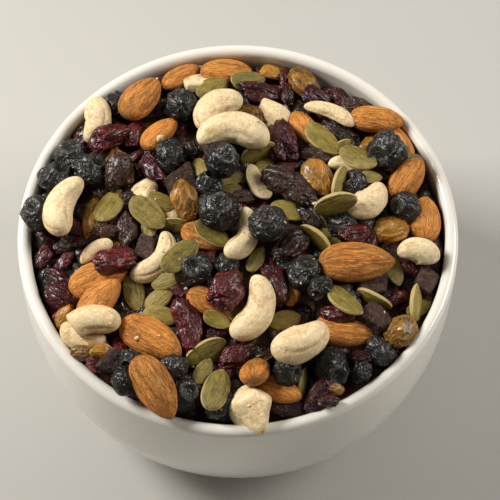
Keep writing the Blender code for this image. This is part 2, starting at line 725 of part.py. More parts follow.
def thin_out(obj, faces):
    """Collapses the shortest edges, most of them where two pieces meet, to this many triangles."""
    mesh = bmesh.new()
    mesh.from_mesh(obj.data)
    bmesh.ops.triangulate(mesh, faces=mesh.faces)
    mesh.to_mesh(obj.data)
    mesh.free()
    thinned = obj.modifiers.new("thinned", "DECIMATE")
    thinned.ratio = min(1, faces / len(obj.data.polygons))
    bpy.context.view_layer.objects.active = obj
    bpy.ops.object.modifier_apply(modifier=thinned.name)


def apply_boolean(obj, operation, collection=None, other=None):
    """Joins a collection to the object, or cuts another object from it."""
    boolean = obj.modifiers.new(operation.lower(), "BOOLEAN")
    boolean.operation = operation
    boolean.solver = "EXACT"
    boolean.material_mode = "TRANSFER"
    if collection:
        boolean.operand_type = "COLLECTION"
        boolean.collection = collection
    else:
        boolean.object = other
    bpy.context.view_layer.objects.active = obj
    bpy.ops.object.modifier_apply(modifier=boolean.name)


def build_mix():
    """The heap as one solid: the core and each piece that shows, joined and cut clear of the bowl."""
    pieces, heap = arranged()
    dark = material("packed_fruit", (0.03, 0.016, 0.012), 0.6)
    mix = new_object("trail_mix", core_mesh(heap), dark)
    shades = {name: material(name, kind.colour, 0.5) for name, kind in KINDS.items()}
    parts = bpy.data.collections.new("pieces")
    bpy.context.scene.collection.children.link(parts)
    for i, piece in enumerate(piece for piece in pieces if piece.length > SHOWN_LENGTH):
        new_object(f"{piece.kind}_{i:03d}", piece_mesh(piece), shades[piece.kind], parts)
    apply_boolean(mix, "UNION", collection=parts)
    for obj in list(parts.objects):
        bpy.data.objects.remove(obj)
    bpy.data.collections.remove(parts)
    keep_largest_shell(mix)
    thin_out(mix, MIX_FACES)
    cutter = turned_object("bowl_clearance", bowl_profile(GAP), BOWL_SIDES, dark)
    apply_boolean(mix, "DIFFERENCE", other=cutter)
    bpy.data.objects.remove(cutter)
    keep_largest_shell(mix)
    smooth(mix, 50)
    return mix


def main():
    for obj in list(bpy.data.objects):
        bpy.data.objects.remove(obj)
    build_bowl()
    build_mix()


main()
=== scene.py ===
"""Bowl of trail mix: the finish of the bowl and of every piece that lies in it.

Run as a script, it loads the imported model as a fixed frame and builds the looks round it. A white
glazed bowl holds almonds, cashews, pumpkin seeds, dried berries, raisins and chocolate. Each piece
that shows is let down on the heap at its own place, by the same rule as in the model's source, and
smaller hollows between them are filled with darker fruit. Lengths are in metres, +Z is up.
"""

import math
from collections import namedtuple
from functools import lru_cache, partial

import bpy
import numpy as np
from mathutils import Matrix, Vector


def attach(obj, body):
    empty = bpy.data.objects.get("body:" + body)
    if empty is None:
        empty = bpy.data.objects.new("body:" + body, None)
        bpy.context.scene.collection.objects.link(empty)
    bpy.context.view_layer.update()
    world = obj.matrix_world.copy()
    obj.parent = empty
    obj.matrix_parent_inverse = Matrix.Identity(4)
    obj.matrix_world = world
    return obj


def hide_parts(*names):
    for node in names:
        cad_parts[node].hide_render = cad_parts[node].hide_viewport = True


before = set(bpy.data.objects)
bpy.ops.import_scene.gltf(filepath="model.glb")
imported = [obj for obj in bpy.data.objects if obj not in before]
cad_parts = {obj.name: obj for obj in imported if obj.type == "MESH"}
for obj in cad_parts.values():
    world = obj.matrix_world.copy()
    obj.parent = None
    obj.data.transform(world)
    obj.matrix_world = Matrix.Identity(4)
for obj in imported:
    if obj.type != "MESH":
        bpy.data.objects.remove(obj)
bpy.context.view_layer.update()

bl_info = {
    "name": "Bowl of Trail Mix",
    "version": (1, 0, 0),
    "blender": (4, 5, 0),
    "location": "View3D > Sidebar > Trail Mix",
    "description": "Builds a glazed bowl heaped with nuts, seeds, dried fruit and chocolate",
    "category": "Mesh",
}

MM = 0.001

# Bowl
RIM_HEIGHT = 70 * MM
RIM_RADIUS = 70 * MM
LIP_RADIUS = 2.1 * MM
WALL = 4.2 * MM
FLOOR_THICKNESS = 5.5 * MM
FOOT_OUTER = 39 * MM
FOOT_INNER = 35 * MM
FOOT_RECESS = 1.6 * MM
LIP_POINTS, FOOT_POINTS = 12, 6  # along each arc of the section

# Heap
GAP = 0.5 * MM  # between the mix and the bowl
BED_CROWN = 3 * MM  # the middle of the bed that the pieces lie on, against the rim
BED_FALL = 9 * MM  # how far the bed falls from its middle to the wall
BED_DIP = 6 * MM  # how much lower it lies at the back, where the bowl's wall shows
DIP_HEADING = math.radians(70)
DIP_NARROWNESS = 8
MOST_SLOPE = 0.45  # a piece leans with the heap under it, no more than this
NEST = 0.85  # a piece counts this much smaller as it settles, as soft fruit gives
SINK = 1.2 * MM  # how far it then sinks into what it lies on
HIGHEST = 20 * MM  # no piece lies higher above the rim
REST_STEP = 0.4 * MM
CELL = 0.5 * MM  # grid on which the heap's height is kept
FEWEST_CELLS = 12  # with fewer round it, a piece doesn't lean
LEAN_REACH = 0.4  # it leans with the heap this near it, against its length
BARE = 0.2 * MM  # a cell is a hollow where the heap rises less than this above the bed

# How the photograph was taken, for placing pieces by the pixel where they show
PHOTO_MIDDLE = 250
PHOTO_FOCAL = 2217.6  # in pixels
VIEW_ELEVATION = math.radians(63.1)
VIEW_DISTANCE = 700 * MM
VIEW_AIM = np.array([3.83 * MM, -7.03 * MM, RIM_HEIGHT])
VIEW_RIGHT = np.array([1.0, 0, 0])
VIEW_UP = np.array([0, math.sin(VIEW_ELEVATION), math.cos(VIEW_ELEVATION)])
VIEW_BACK = np.array([0, -math.cos(VIEW_ELEVATION), math.sin(VIEW_ELEVATION)])
EYE = VIEW_AIM + VIEW_BACK * VIEW_DISTANCE

# Light and floor: where each light stands and how wide it is, and the colour of its light
KEY_PLACE, KEY_SIZE = (-0.62, 0.24, 0.58), 0.32
SIDE_PLACE, SIDE_SIZE = (0.75, 0.20, 0.50), 0.45
SIDE_SHARE = 0.6  # how strong the light on the right is against the one at the left
LAMP_COLOUR = (1.0, 0.97, 0.92)
SKY_COLOUR = (1.0, 0.96, 0.89)
STAGE_REACH = 3.0
FLOOR_CORNERS = ((-1, -1), (1, -1), (1, 1), (-1, 1))
SENSOR_WIDTH = 36  # of the camera, in its own millimetres

# The core under the pieces: its top lies this much under the heap's lowest height within reach
CORE_UNDER = 1.5 * MM
CORE_REACH = 2.5 * MM
CORE_WALL_FROM = 16 * MM  # how far below the rim its side takes up the bowl's inner profile
CORE_RINGS, CORE_SIDES = 48, 144

# Nut crumbs on top: how many, where the large one lies in the photograph, and their lengths
CRUMBS = 65
LARGE_CRUMB_AT = (161, 139)
LARGE_CRUMB = 2.6 * MM
LEAST_CRUMB, MORE_CRUMB, MOST_CRUMB = 0.35, 0.3, 1.5  # in millimetres
CRUMB_SEED = 7

# Where the seeds of the pieces' own shapes start
SHOWN_SEEDS = 100
FILLER_SEEDS = 2000
CRUMB_SEEDS = 4000

# Each kind: width and thickness against length
Kind = namedtuple("Kind", "width thickness")
KINDS = {
    "almond": Kind(0.56, 0.38),
    "cashew": Kind(0.36, 0.33),
    "half": Kind(0.21, 0.17),
    "broken": Kind(0.38, 0.35),
    "bit": Kind(0.85, 0.60),
    "blueberry": Kind(0.96, 0.82),
    "cranberry": Kind(0.58, 0.45),
    "raisin": Kind(0.62, 0.48),
    "sultana": Kind(0.66, 0.46),
    "pepita": Kind(0.54, 0.19),
    "chunk": Kind(0.78, 0.55),
}
# The bend of the cashews, whole, in halves and broken, from one end to the other
BEND = {"cashew": math.radians(140), "half": math.radians(65), "broken": math.radians(105)}
BALLS_ALONG = (0.1, 0.3, 0.5, 0.7, 0.9)  # where the balls that stand for it lie along it
BROKEN_FROM = 0.3  # the share of its length that a broken one has lost
INNER_REACH = 0.85  # its inner side reaches this share of the way to the middle of the bend
# Where a nut or seed is widest along its length, and how pointed its tip is
OUTLINE = {"almond": (0.43, 0.72), "pepita": (0.46, 0.64)}
# How far the skin of a shrivelled piece stands out, and how many broad waves it has, how close
SHRIVELLED = {"blueberry": 0.05, "cranberry": 0.16, "raisin": 0.13, "sultana": 0.10, "bit": 0.10}
LUMP_WAVES, LUMP_PITCH = 5, 2.2

# The kinds of small dark fruit that fill the hollows, how often each comes, and its length
FILLERS = {
    "blueberry": (0.36, 10.5),
    "cranberry": (0.30, 12.0),
    "raisin": (0.28, 11.5),
    "pepita": (0.04, 12.0),
    "sultana": (0.02, 11.0),
}
FILLER_TOP = 4.5 * MM  # how far a filler may stand above the bed
FILLER_UNDER = 0.6 * MM  # it stays this much under the pieces beside it
FILLER_SEED = 11
MOST_FILLERS = 170

# A piece that shows. across and down are the photograph's pixel at its middle. turn is the way its
# long axis points there, anticlockwise from the right, in degrees: an almond's points to its tip
# and a cashew's bulge is to the left of it. length is in millimetres. pitch lifts the long axis,
# roll turns the piece about it, and fat is its girth against its kind's. A piece lies at least as
# high above the rim as lowest, in millimetres, which puts some of them on the lip.
Item = namedtuple(
    "Item", "kind across down turn length pitch roll fat lowest", defaults=(0, 0, 1, -12)
)
almond, cashew, half, broken, bit, blueberry, cranberry, raisin, sultana, pepita, chunk = (
    partial(Item, kind) for kind in KINDS
)

LOWER_PIECES = (
    raisin(148, 76, 20, 10), pepita(148, 124, 0, 11), raisin(159, 112, 30, 12),
    blueberry(119, 106, 0, 11.5), blueberry(68, 156, 0, 12), blueberry(57, 179, 0, 12),
    blueberry(92, 171, 0, 12), sultana(119, 166, -72, 14), raisin(152, 151, 60, 9),
    cranberry(138, 155, 30, 7), cranberry(156, 172, -52, 14), bit(201, 84, 15, 10),
    sultana(247, 115, -10, 12), bit(276, 115, -20, 11), chunk(268, 74, 0, 8),
    sultana(274, 67, 0, 9), cranberry(289, 73, 80, 9.5), cranberry(289, 94, 75, 10),
    sultana(307, 77, -50, 14), cranberry(334, 90, -30, 10), cranberry(314, 96, -10, 10.5),
    cranberry(340, 99, -25, 10), raisin(366, 102, -15, 11.5), almond(400, 145, -60, 19),
    pepita(414, 160, 20, 9), raisin(338, 131, -30, 13), raisin(314, 156, -10, 10),
    cashew(349, 170, -25, 17), blueberry(353, 184, 0, 9.5), pepita(371, 177, 10, 8),
    sultana(95, 220, 80, 14.5), raisin(107, 232, 0, 8.5), raisin(127, 231, 85, 11.5),
    raisin(66, 245, 5, 9), raisin(131, 198, 30, 11), bit(147, 190, 45, 8),
    blueberry(208, 184, 0, 10), pepita(231, 179, 20, 9), pepita(231, 190, 15, 8),
    raisin(243, 197, 0, 8), pepita(264, 165, 50, 9), bit(170, 215, 0, 6),
    pepita(158, 202, -15, 12.5), pepita(289, 211, -15, 12.5), almond(205, 237, -20, 16),
    raisin(190, 151, -50, 9.5), blueberry(343, 224, 0, 10.5), cranberry(357, 233, 10, 10),
    raisin(311, 217, -60, 11.5), pepita(324, 234, 0, 7), pepita(256, 260, 60, 9.5),
    blueberry(192, 268, -70, 12.7, -20), pepita(166, 281, 10, 10), pepita(159, 299, 30, 10.5),
    pepita(161, 316, -12, 11.5), cranberry(180, 292, -40, 8), cranberry(188, 322, -75, 17),
    almond(210, 304, -25, 16), pepita(217, 320, -20, 9), pepita(236, 309, 65, 9),
    cranberry(276, 288, -80, 15.5), blueberry(305, 274, 0, 12.2), blueberry(321, 288, 0, 8.5),
    chunk(372, 285, 5, 11.5), cranberry(397, 298, 30, 8), chunk(432, 283, 60, 10),
    pepita(394, 271, -70, 10.5), cranberry(42, 256, 60, 9.5), cranberry(64, 263, 40, 9.5),
    cranberry(61, 282, -40, 11), cranberry(63, 299, -20, 12), sultana(65, 317, 60, 8.5),
    cashew(83, 335, 160, 18, 0, 0, 1.15), sultana(85, 352, 0, 8.5), sultana(102, 353, 0, 8),
    cranberry(95, 365, -30, 8), chunk(113, 360, 60, 9.5), blueberry(131, 362, 0, 8.5),
    blueberry(127, 381, 0, 9.5), blueberry(186, 393, 0, 12.5), blueberry(174, 369, 0, 9.5),
    blueberry(217, 413, 0, 11), cranberry(232, 356, 25, 11.5), cranberry(212, 336, 20, 8),
    cranberry(288, 410, -5, 12, 0, 0, 1.1), almond(279, 391, -20, 15), blueberry(287, 371, 0, 10),
    raisin(268, 357, 20, 9), blueberry(331, 367, 0, 13), blueberry(363, 375, 0, 9.5),
    blueberry(384, 356, 0, 10.5), cranberry(361, 357, 0, 7), cranberry(320, 395, 58, 11.5),
    sultana(335, 388, 0, 6), cranberry(330, 401, 0, 7), pepita(353, 344, -10, 8),
    almond(346, 331, -4, 20), cranberry(337, 315, -15, 9.5), chunk(374, 319, -40, 11.5),
    sultana(400, 331, 45, 12.5, 0, 0, 1.15), pepita(427, 312, 30, 9), pepita(285, 320, 12, 10.5),
)

MIDDLE_PIECES = (
    almond(141, 98, 45, 17.5, 15, 0, 1.2), almond(181, 76, 35, 14.5), almond(226, 66, 13, 18),
    pepita(247, 81, 12, 12.5), pepita(213, 87, 25, 12), cranberry(263, 93, -5, 14),
    cranberry(282, 142, -70, 17), almond(305, 129, -60, 15.5), almond(377, 120, -8, 18),
    blueberry(387, 152, -135, 14, -38), pepita(258, 152, 20, 13, 0, 70),
    blueberry(181, 106, 0, 11.5), almond(160, 134, 42, 15.5), blueberry(171, 157, 0, 12),
    cashew(219, 112, 40, 23, 0, 0, 1.12), chunk(181, 181, 25, 11.5), raisin(284, 181, -15, 15),
    raisin(299, 193, -25, 13), sultana(319, 177, -55, 14), pepita(342, 149, 35, 10.5, 0, 50),
    almond(408, 179, 60, 16, 25, 0, 1.15), almond(427, 219, 86, 16.5, 0, 0, 1.1),
    cashew(417, 255, -8, 17, 0, 50, 1.4), cashew(92, 121, 80, 19, 12, 180, 1.3),
    cranberry(107, 138, 33, 15), cranberry(134, 134, 70, 11.5),
    raisin(118, 171, 70, 11.5, 0, 0, 1.25), pepita(149, 226, 88, 9), chunk(146, 249, 80, 9.5),
    blueberry(37, 213, 100, 13.5, -5, 0, 0.78, 3), almond(99, 279, 18, 20),
    almond(100, 301, 42, 18), pepita(134, 293, -75, 12), pepita(212, 234, -30, 12.5),
    raisin(290, 246, 42, 14), pepita(175, 225, -5, 9.5, 0, 50), almond(151, 339, -31, 22.5),
    almond(154, 388, -58, 22), pepita(203, 372, 60, 9.5), almond(256, 371, 100, 15, -48, 0, 1.2),
    bit(250, 405, 75, 13.5), cashew(300, 337, -158, 23.5, 0, 0, 1.4),
    pepita(303, 382, 80, 9.5, 0, 45), almond(357, 263, 4, 24.5, 0, 0, 0.98),
    sultana(391, 230, 20, 13, 0, 0, 1.15), blueberry(405, 207, 0, 10.5),
    pepita(416, 302, 85, 12.5, 0, 52), pepita(345, 302, -38, 13.5),
    pepita(374, 300, -20, 12.5, 0, 76),
)

UPPER_PIECES = (
    cashew(232, 136, 2, 28, 0, 0, 1.0), half(259, 181, -62, 18.5, 0, 160, 1.45),
    half(330, 114, -22, 22, 0, 0, 1.25), pepita(323, 140, -42, 14.5), pepita(359, 159, -32, 14),
    blueberry(221, 159, -90, 11.8, -11), pepita(200, 168, -65, 9),
    sultana(185, 201, -80, 13.5, 0, 0, 1.05), blueberry(219, 211, -70, 13.6, -6),
    cashew(240, 233, -112, 21, 0, 0, 0.95), blueberry(268, 223, 180, 12.8, -20),
    cashew(366, 197, -143, 19.5, 0, 0, 1.25), pepita(339, 183, 70, 12, 0, 72),
    pepita(336, 203, 5, 14.5, 0, 76), pepita(318, 239, -38, 14, 0, 76),
    cashew(67, 205, -107, 25.5, 0, 210, 1.1), pepita(110, 206, 55, 14),
    pepita(148, 213, -40, 14.5), half(96, 252, 27, 15.5, 0, 20, 1.5), cranberry(113, 262, 20, 14),
    cashew(154, 257, -128, 23, 0, 0, 0.88), pepita(180, 256, 38, 14.5, 0, 32),
    cranberry(225, 288, 50, 16.5, 0, 0, 1.4), cashew(250, 307, -114, 25.5, 0, 0, 0.98),
    pepita(206, 353, 28, 14.5, 0, 35), pepita(216, 390, 72, 15),
    broken(88, 327, 14, 25.5, 0, 0, 0.92),
)

Placed = namedtuple("Placed", "kind length width thickness place rotation seed")
Ball = namedtuple("Ball", "centre axes")


def stacked(*parts):
    """Points or faces from the arrays of their parts, a single number being the same for all."""
    return np.stack(np.broadcast_arrays(*parts), -1)


def sight_line(across, down, height):
    """The point at this height that shows at this pixel of the photograph."""
    ray = VIEW_RIGHT * (across - PHOTO_MIDDLE) - VIEW_UP * (down - PHOTO_MIDDLE)
    ray = ray - VIEW_BACK * PHOTO_FOCAL
    return EYE + ray * (height - EYE[2]) / ray[2]


def seen_at(points):
    """The pixels of the photograph where these points show."""
    away = points - EYE
    scale = PHOTO_FOCAL / -(away @ VIEW_BACK)
    return PHOTO_MIDDLE + stacked(away[:, 0] * scale, -(away @ VIEW_UP) * scale)


def bed_height(x, y):
    """The bed's height: a low dome, with a dip on one side that deepens towards the wall."""
    share = np.hypot(x, y) / RIM_RADIUS
    towards_dip = np.clip(np.cos(np.arctan2(y, x) - DIP_HEADING), 0, 1) ** DIP_NARROWNESS
    return RIM_HEIGHT + BED_CROWN - share**2 * (BED_FALL + BED_DIP * towards_dip)


def arc_place(t, kind, length, girth):
    """A cashew's middle line: an arc whose ends lie on the local X axis's two sides.

    Returns the point at t, 0 at the tail and 1 at the head, the way out of the bend there, and the
    arc's radius.
    """
    bend = BEND[kind]
    radius = (length - 0.8 * girth) / 2 / math.sin(bend / 2)
    angle = (t - 0.5) * bend
    middle = radius * (1 + math.cos(bend / 2)) / 2
    point = stacked(radius * np.sin(angle), radius * np.cos(angle) - middle, 0)
    return point, stacked(np.sin(angle), np.cos(angle), 0), radius


def cashew_girth(t):
    """A cashew's girth along it: round ends, the head thicker than the tail."""
    return (0.84 + 0.28 * t) * np.sqrt(np.clip(1 - np.abs(2 * t - 1) ** 3.2, 0, 1))


def balls_of(kind, length, width, thickness):
    """Ellipsoids that stand for the piece, in its own frame, for finding how it lies."""
    if kind not in BEND:
        return [Ball(np.zeros(3), np.array([length, width, thickness]) / 2 * NEST)]
    balls = []
    for t in BALLS_ALONG:
        centre = arc_place(np.array(t), kind, length, width)[0]
        grown = (0.40 + 0.14 * t) * NEST
        balls.append(Ball(centre, np.array([width, width, thickness]) * grown))
    return balls


def turned(turn, pitch, roll):
    """A piece's rotation: rolled about its long axis, lifted, then turned as the photograph shows.

    The photograph draws the heap's depth shorter by the sine of the view's elevation.
    """
    across, up = math.cos(math.radians(turn)), math.sin(math.radians(turn))
    heading = math.atan2(up / math.sin(VIEW_ELEVATION), across)
    spin = Matrix.Rotation(heading, 3, "Z")
    lift = Matrix.Rotation(-math.radians(pitch), 3, "Y")
    return np.array(spin @ lift @ Matrix.Rotation(math.radians(roll), 3, "X"))


class Heap:
    """The heap's height on a grid. Each piece is let down on it until it touches."""

    def __init__(self):
        self.low = -RIM_RADIUS - 4 * MM
        line = np.arange(self.low, -self.low, CELL)
        self.x, self.y = np.meshgrid(line, line, indexing="ij")
        radius = np.hypot(self.x, self.y)
        self.inside = radius < RIM_RADIUS - WALL
        self.bed = bed_height(self.x, self.y)
        self.height = np.where(self.inside, self.bed, 0.0)
        self.free = self.inside  # where no listed piece lies
        lip = np.clip(LIP_RADIUS**2 - (radius - RIM_RADIUS + LIP_RADIUS) ** 2, 0, None)
        self.rim = np.where(lip > 0, RIM_HEIGHT - LIP_RADIUS + np.sqrt(lip), 0)

    def window(self, middle, reach):
        """The part of the grid within reach of this place."""
        first = ((middle[:2] - reach - self.low) / CELL).astype(int)
        last = ((middle[:2] + reach - self.low) / CELL).astype(int) + 2
        first, last = np.clip(first, 0, len(self.x)), np.clip(last, 0, len(self.x))
        return slice(first[0], last[0]), slice(first[1], last[1])

    def shadow(self, ball, rotation, place):
        """The cells under one ellipsoid, with its lowest and highest point over each."""
        centre = rotation @ ball.centre + place
        window = self.window(centre, ball.axes.max())
        dx, dy = self.x[window] - centre[0], self.y[window] - centre[1]
        m = rotation @ np.diag(1 / ball.axes**2) @ rotation.T
        b = m[0, 2] * dx + m[1, 2] * dy
        c = m[0, 0] * dx**2 + 2 * m[0, 1] * dx * dy + m[1, 1] * dy**2 - 1
        inside = b * b - m[2, 2] * c
        root = np.sqrt(np.clip(inside, 0, None))
        low, high = ((-b + side * root) / m[2, 2] + centre[2] for side in (-1, 1))
        return window, inside > 0, low, high

    def leaning(self, place, reach):
        """The heap's own upward direction under a piece, no steeper than MOST_SLOPE."""
        window = self.window(place, reach)
        near = self.inside[window]
        dx, dy = self.x[window][near] - place[0], self.y[window][near] - place[1]
        if len(dx) < FEWEST_CELLS:
            return Vector((0, 0, 1))
        slope = np.linalg.lstsq(stacked(dx, dy, 1), self.height[window][near], rcond=None)[0][:2]
        slope *= min(1, MOST_SLOPE / max(math.hypot(*slope), 1e-9))
        return Vector((-slope[0], -slope[1], 1)).normalized()

    def blocked(self, balls, rotation, place):
        """Whether the piece would be too deep in the heap, or in the bowl's lip."""
        for ball in balls:
            window, covered, low, _ = self.shadow(ball, rotation, place)
            thin = ball.axes.min()
            if (low + min(SINK, thin) < self.height[window])[covered].any():
                return True
            true_low = low - thin * (1 / NEST - 1) - GAP
            if (true_low < self.rim[window])[covered & (self.rim[window] > 0)].any():
                return True
        return False

    def kept_inside(self, balls, rotation, place):
        """The place moved towards the middle, until the piece is within the wall below the rim."""
        for _ in range(3):
            out = 0.0
            for ball in balls:
                centre = rotation @ ball.centre + place
                away = math.hypot(centre[0], centre[1])
                if centre[2] > RIM_HEIGHT or away < GAP:
                    continue
                way = np.array([centre[0], centre[1], 0]) / away
                reach = np.linalg.norm(way @ rotation * ball.axes) / NEST
                out = max(out, away + reach - (RIM_RADIUS - WALL - GAP))
            if out <= 0:
                break
            place = place * (1 - np.array([1, 1, 0]) * out / math.hypot(place[0], place[1]))
        return place

    def rest(self, item, balls, rotation):
        """The lowest place on the piece's line of sight that nothing blocks."""
        for height in np.arange(RIM_HEIGHT + item.lowest * MM, RIM_HEIGHT + HIGHEST, REST_STEP):
            place = sight_line(item.across, item.down, height)
            place = self.kept_inside(balls, rotation, place)
            if not self.blocked(balls, rotation, place):
                break
        return place

    def cover(self, balls, rotation, place):
        """Raises the heap to the top of a piece that lies here."""
        for ball in balls:
            window, covered, _, high = self.shadow(ball, rotation, place)
            part = self.height[window]
            part[covered] = np.maximum(part, high)[covered]

    def lay(self, item, seed):
        """Lays one piece at its pixel, on what is there already, and returns where it lies."""
        kind = KINDS[item.kind]
        draw = np.random.default_rng(seed)
        length = item.length * MM
        width = length * kind.width * item.fat * draw.uniform(0.96, 1.05)
        thickness = length * kind.thickness * item.fat * draw.uniform(0.96, 1.05)
        turn, pitch = item.turn, item.pitch
        if item.kind == "blueberry" and not pitch:
            turn, pitch = draw.uniform(0, 360), -draw.uniform(10, 75)
        balls = balls_of(item.kind, length, width, thickness)
        rotation = own = turned(turn, pitch, item.roll)
        for _ in range(2):
            place = self.rest(item, balls, rotation)
            lean = self.leaning(place, LEAN_REACH * length)
            tilt = Vector((0, 0, 1)).rotation_difference(lean)
            rotation = np.array(tilt.to_matrix()) @ own
        place = self.rest(item, balls, rotation)
        self.cover(balls, rotation, place)
        return Placed(item.kind, length, width, thickness, place, rotation, seed)

    def lowest_around(self, reach):
        """The heap's lowest height in a square round each cell, with the bowl's wall left out."""
        lowest = np.where(self.inside, self.height, RIM_HEIGHT + HIGHEST)
        cells = int(reach / CELL)
        for axis in (0, 1):
            shifted = [np.roll(lowest, shift, axis) for shift in range(-cells, cells + 1)]
            lowest = np.min(shifted, axis=0)
        return lowest

    def hollows(self):
        """The cells inside the bowl that no piece covers yet."""
        return self.inside & (self.height < self.bed + BARE)

    def fill(self, kind, length, place, draw, seed):
        """Puts a piece in a hollow, as high as it goes under what lies beside it."""
        width = length * KINDS[kind].width
        thickness = length * KINDS[kind].thickness
        turn, pitch, roll = draw.uniform(0, 360), draw.uniform(-25, 25), draw.uniform(-40, 40)
        if kind == "blueberry":
            pitch = -draw.uniform(0, 80)
        rotation = turned(turn, pitch, roll)
        balls = balls_of(kind, length / NEST, width / NEST, thickness / NEST)
        place = np.array([place[0], place[1], RIM_HEIGHT - length])
        place = self.kept_inside([Ball(b.centre, b.axes * NEST) for b in balls], rotation, place)
        limit = np.where(self.free, self.bed + FILLER_TOP, self.height - FILLER_UNDER)
        limit = np.where(self.inside, limit, RIM_HEIGHT)
        room = HIGHEST
        for ball in balls:
            window, covered, _, high = self.shadow(ball, rotation, place)
            if covered.any():
                room = min(room, (limit[window] - high)[covered].min())
        place[2] += room
        self.cover(balls, rotation, place)
        return Placed(kind, length, width, thickness, place, rotation, seed)


@lru_cache(maxsize=None)
def arranged():
    """Every piece that shows, then the fillers of the hollows, and the heap that they make."""
    heap = Heap()
    shown = LOWER_PIECES + MIDDLE_PIECES + UPPER_PIECES
    pieces = [heap.lay(item, SHOWN_SEEDS + i) for i, item in enumerate(shown)]
    draw = np.random.default_rng(FILLER_SEED)
    shares = np.array([share for share, _ in FILLERS.values()])
    heap.free = heap.hollows()
    fillers = []
    for i in range(MOST_FILLERS):
        left = np.argwhere(heap.hollows())
        if not len(left):
            break
        cell = tuple(left[draw.integers(len(left))])
        kind = list(FILLERS)[draw.choice(len(FILLERS), p=shares / shares.sum())]
        length = FILLERS[kind][1] * MM * draw.uniform(0.85, 1.1)
        place = (heap.x[cell], heap.y[cell])
        fillers.append(heap.fill(kind, length, place, draw, FILLER_SEEDS + i))
    return pieces, fillers, heap


# Surfaces


def wave_sum(points, draw, scale, count):
    """The sum of this many sines along random directions, scaled on each axis."""
    total = np.zeros(points.shape[:-1])
    for _ in range(count):
        total += np.sin(points @ (draw.normal(size=3) * scale) + draw.uniform(0, 2 * math.pi))
    return total


def waves(points, draw, scale, count=8):
    """Smooth noise from -1 to 1: a sum of sines, brought to the same size whatever their count."""
    return wave_sum(points, draw, scale, count) / math.sqrt(count) / 1.2


def folds(points, draw, scale, sharpness):
    """1 along winding ridges and 0 in the hollows between: one less the size of smooth noise.

    The noise is zero along the ridges, which makes them sharp. scale is its frequency on each
    axis, and a power above 1 narrows the ridges.
    """
    return np.clip(1 - 1.5 * np.abs(waves(points, draw, scale)), 0, 1) ** sharpness


def teardrop(s, widest, point):
    """Half width along a nut or seed, from 0 at its blunt end over 1 at the widest place to 0.

    Both ends are superellipses, the tip with the exponent point, which is 0.5 on a round one.
    """
    blunt = np.clip(1 - np.abs(1 - s / widest) ** 2.3, 0, 1) ** 0.48
    tip = np.clip(1 - (np.clip(s - widest, 0, 1) / (1 - widest)) ** 2.2, 0, 1) ** point
    return np.where(s < widest, blunt, tip)


def lumps(direction, seed, size):
    """How far a shrivelled fruit's skin stands out: a few broad waves over the sphere."""
    draw = np.random.default_rng(seed + 1)
    return 1 + size * wave_sum(direction, draw, LUMP_PITCH, LUMP_WAVES) / 2


def bell(value, middle, width):
    """1 where value is at the middle, falling off on both sides as a bell curve."""
    return np.exp(-(((value - middle) / width) ** 2))


def directions(x, v):
    """Unit directions: x runs from -X to +X over the sphere, and v round that axis."""
    angle = x * math.pi
    return stacked(-np.cos(angle), np.sin(angle) * np.cos(v), np.sin(angle) * np.sin(v))


def half_sizes(piece):
    """Half a piece's length, width and thickness."""
    return np.array([piece.length, piece.width, piece.thickness]) / 2


def close_at_ends(x):
    """0 to 1 with its steps drawn together at both ends, where a blunt shape turns fastest."""
    return (1 - np.cos(np.pi * x)) / 2


def almond_skin(piece, x, v, draw):
    """A pointed teardrop with an oval section, ribbed along its length.

    The ribs are ridges of noise that changes fast round the nut and slowly along it, bent by a
    slower noise so that they wind and join on the way from the blunt end to the tip.
    """
    s = close_at_ends(x)
    _, half_width, half_thick = half_sizes(piece)
    across = teardrop(s, *OUTLINE["almond"])
    path = stacked(s, np.cos(v), np.sin(v))
    bent = path + 0.07 * waves(path, draw, (9.0, 2.0, 2.0))[..., None]
    coarse = folds(bent, draw, (2.6, 9.0, 9.0), 1.0)
    fine = folds(bent, draw, (6.0, 19.0, 19.0), 1.0)
    relief = 0.6 * coarse + 0.4 * fine
    body = 1 + 0.03 * waves(path, draw, (2.5, 1.3, 1.3), 5)
    swell = body + 0.17 * MM / half_width * (relief - 0.6) * across**0.4
    points = stacked(
        (s - 0.5) * piece.length,
        half_width * across * swell * np.cos(v) + 0.02 * piece.length * np.sin(2.6 * s),
        half_thick * across**0.85 * swell * np.sin(v),
    )
    return points, relief, s


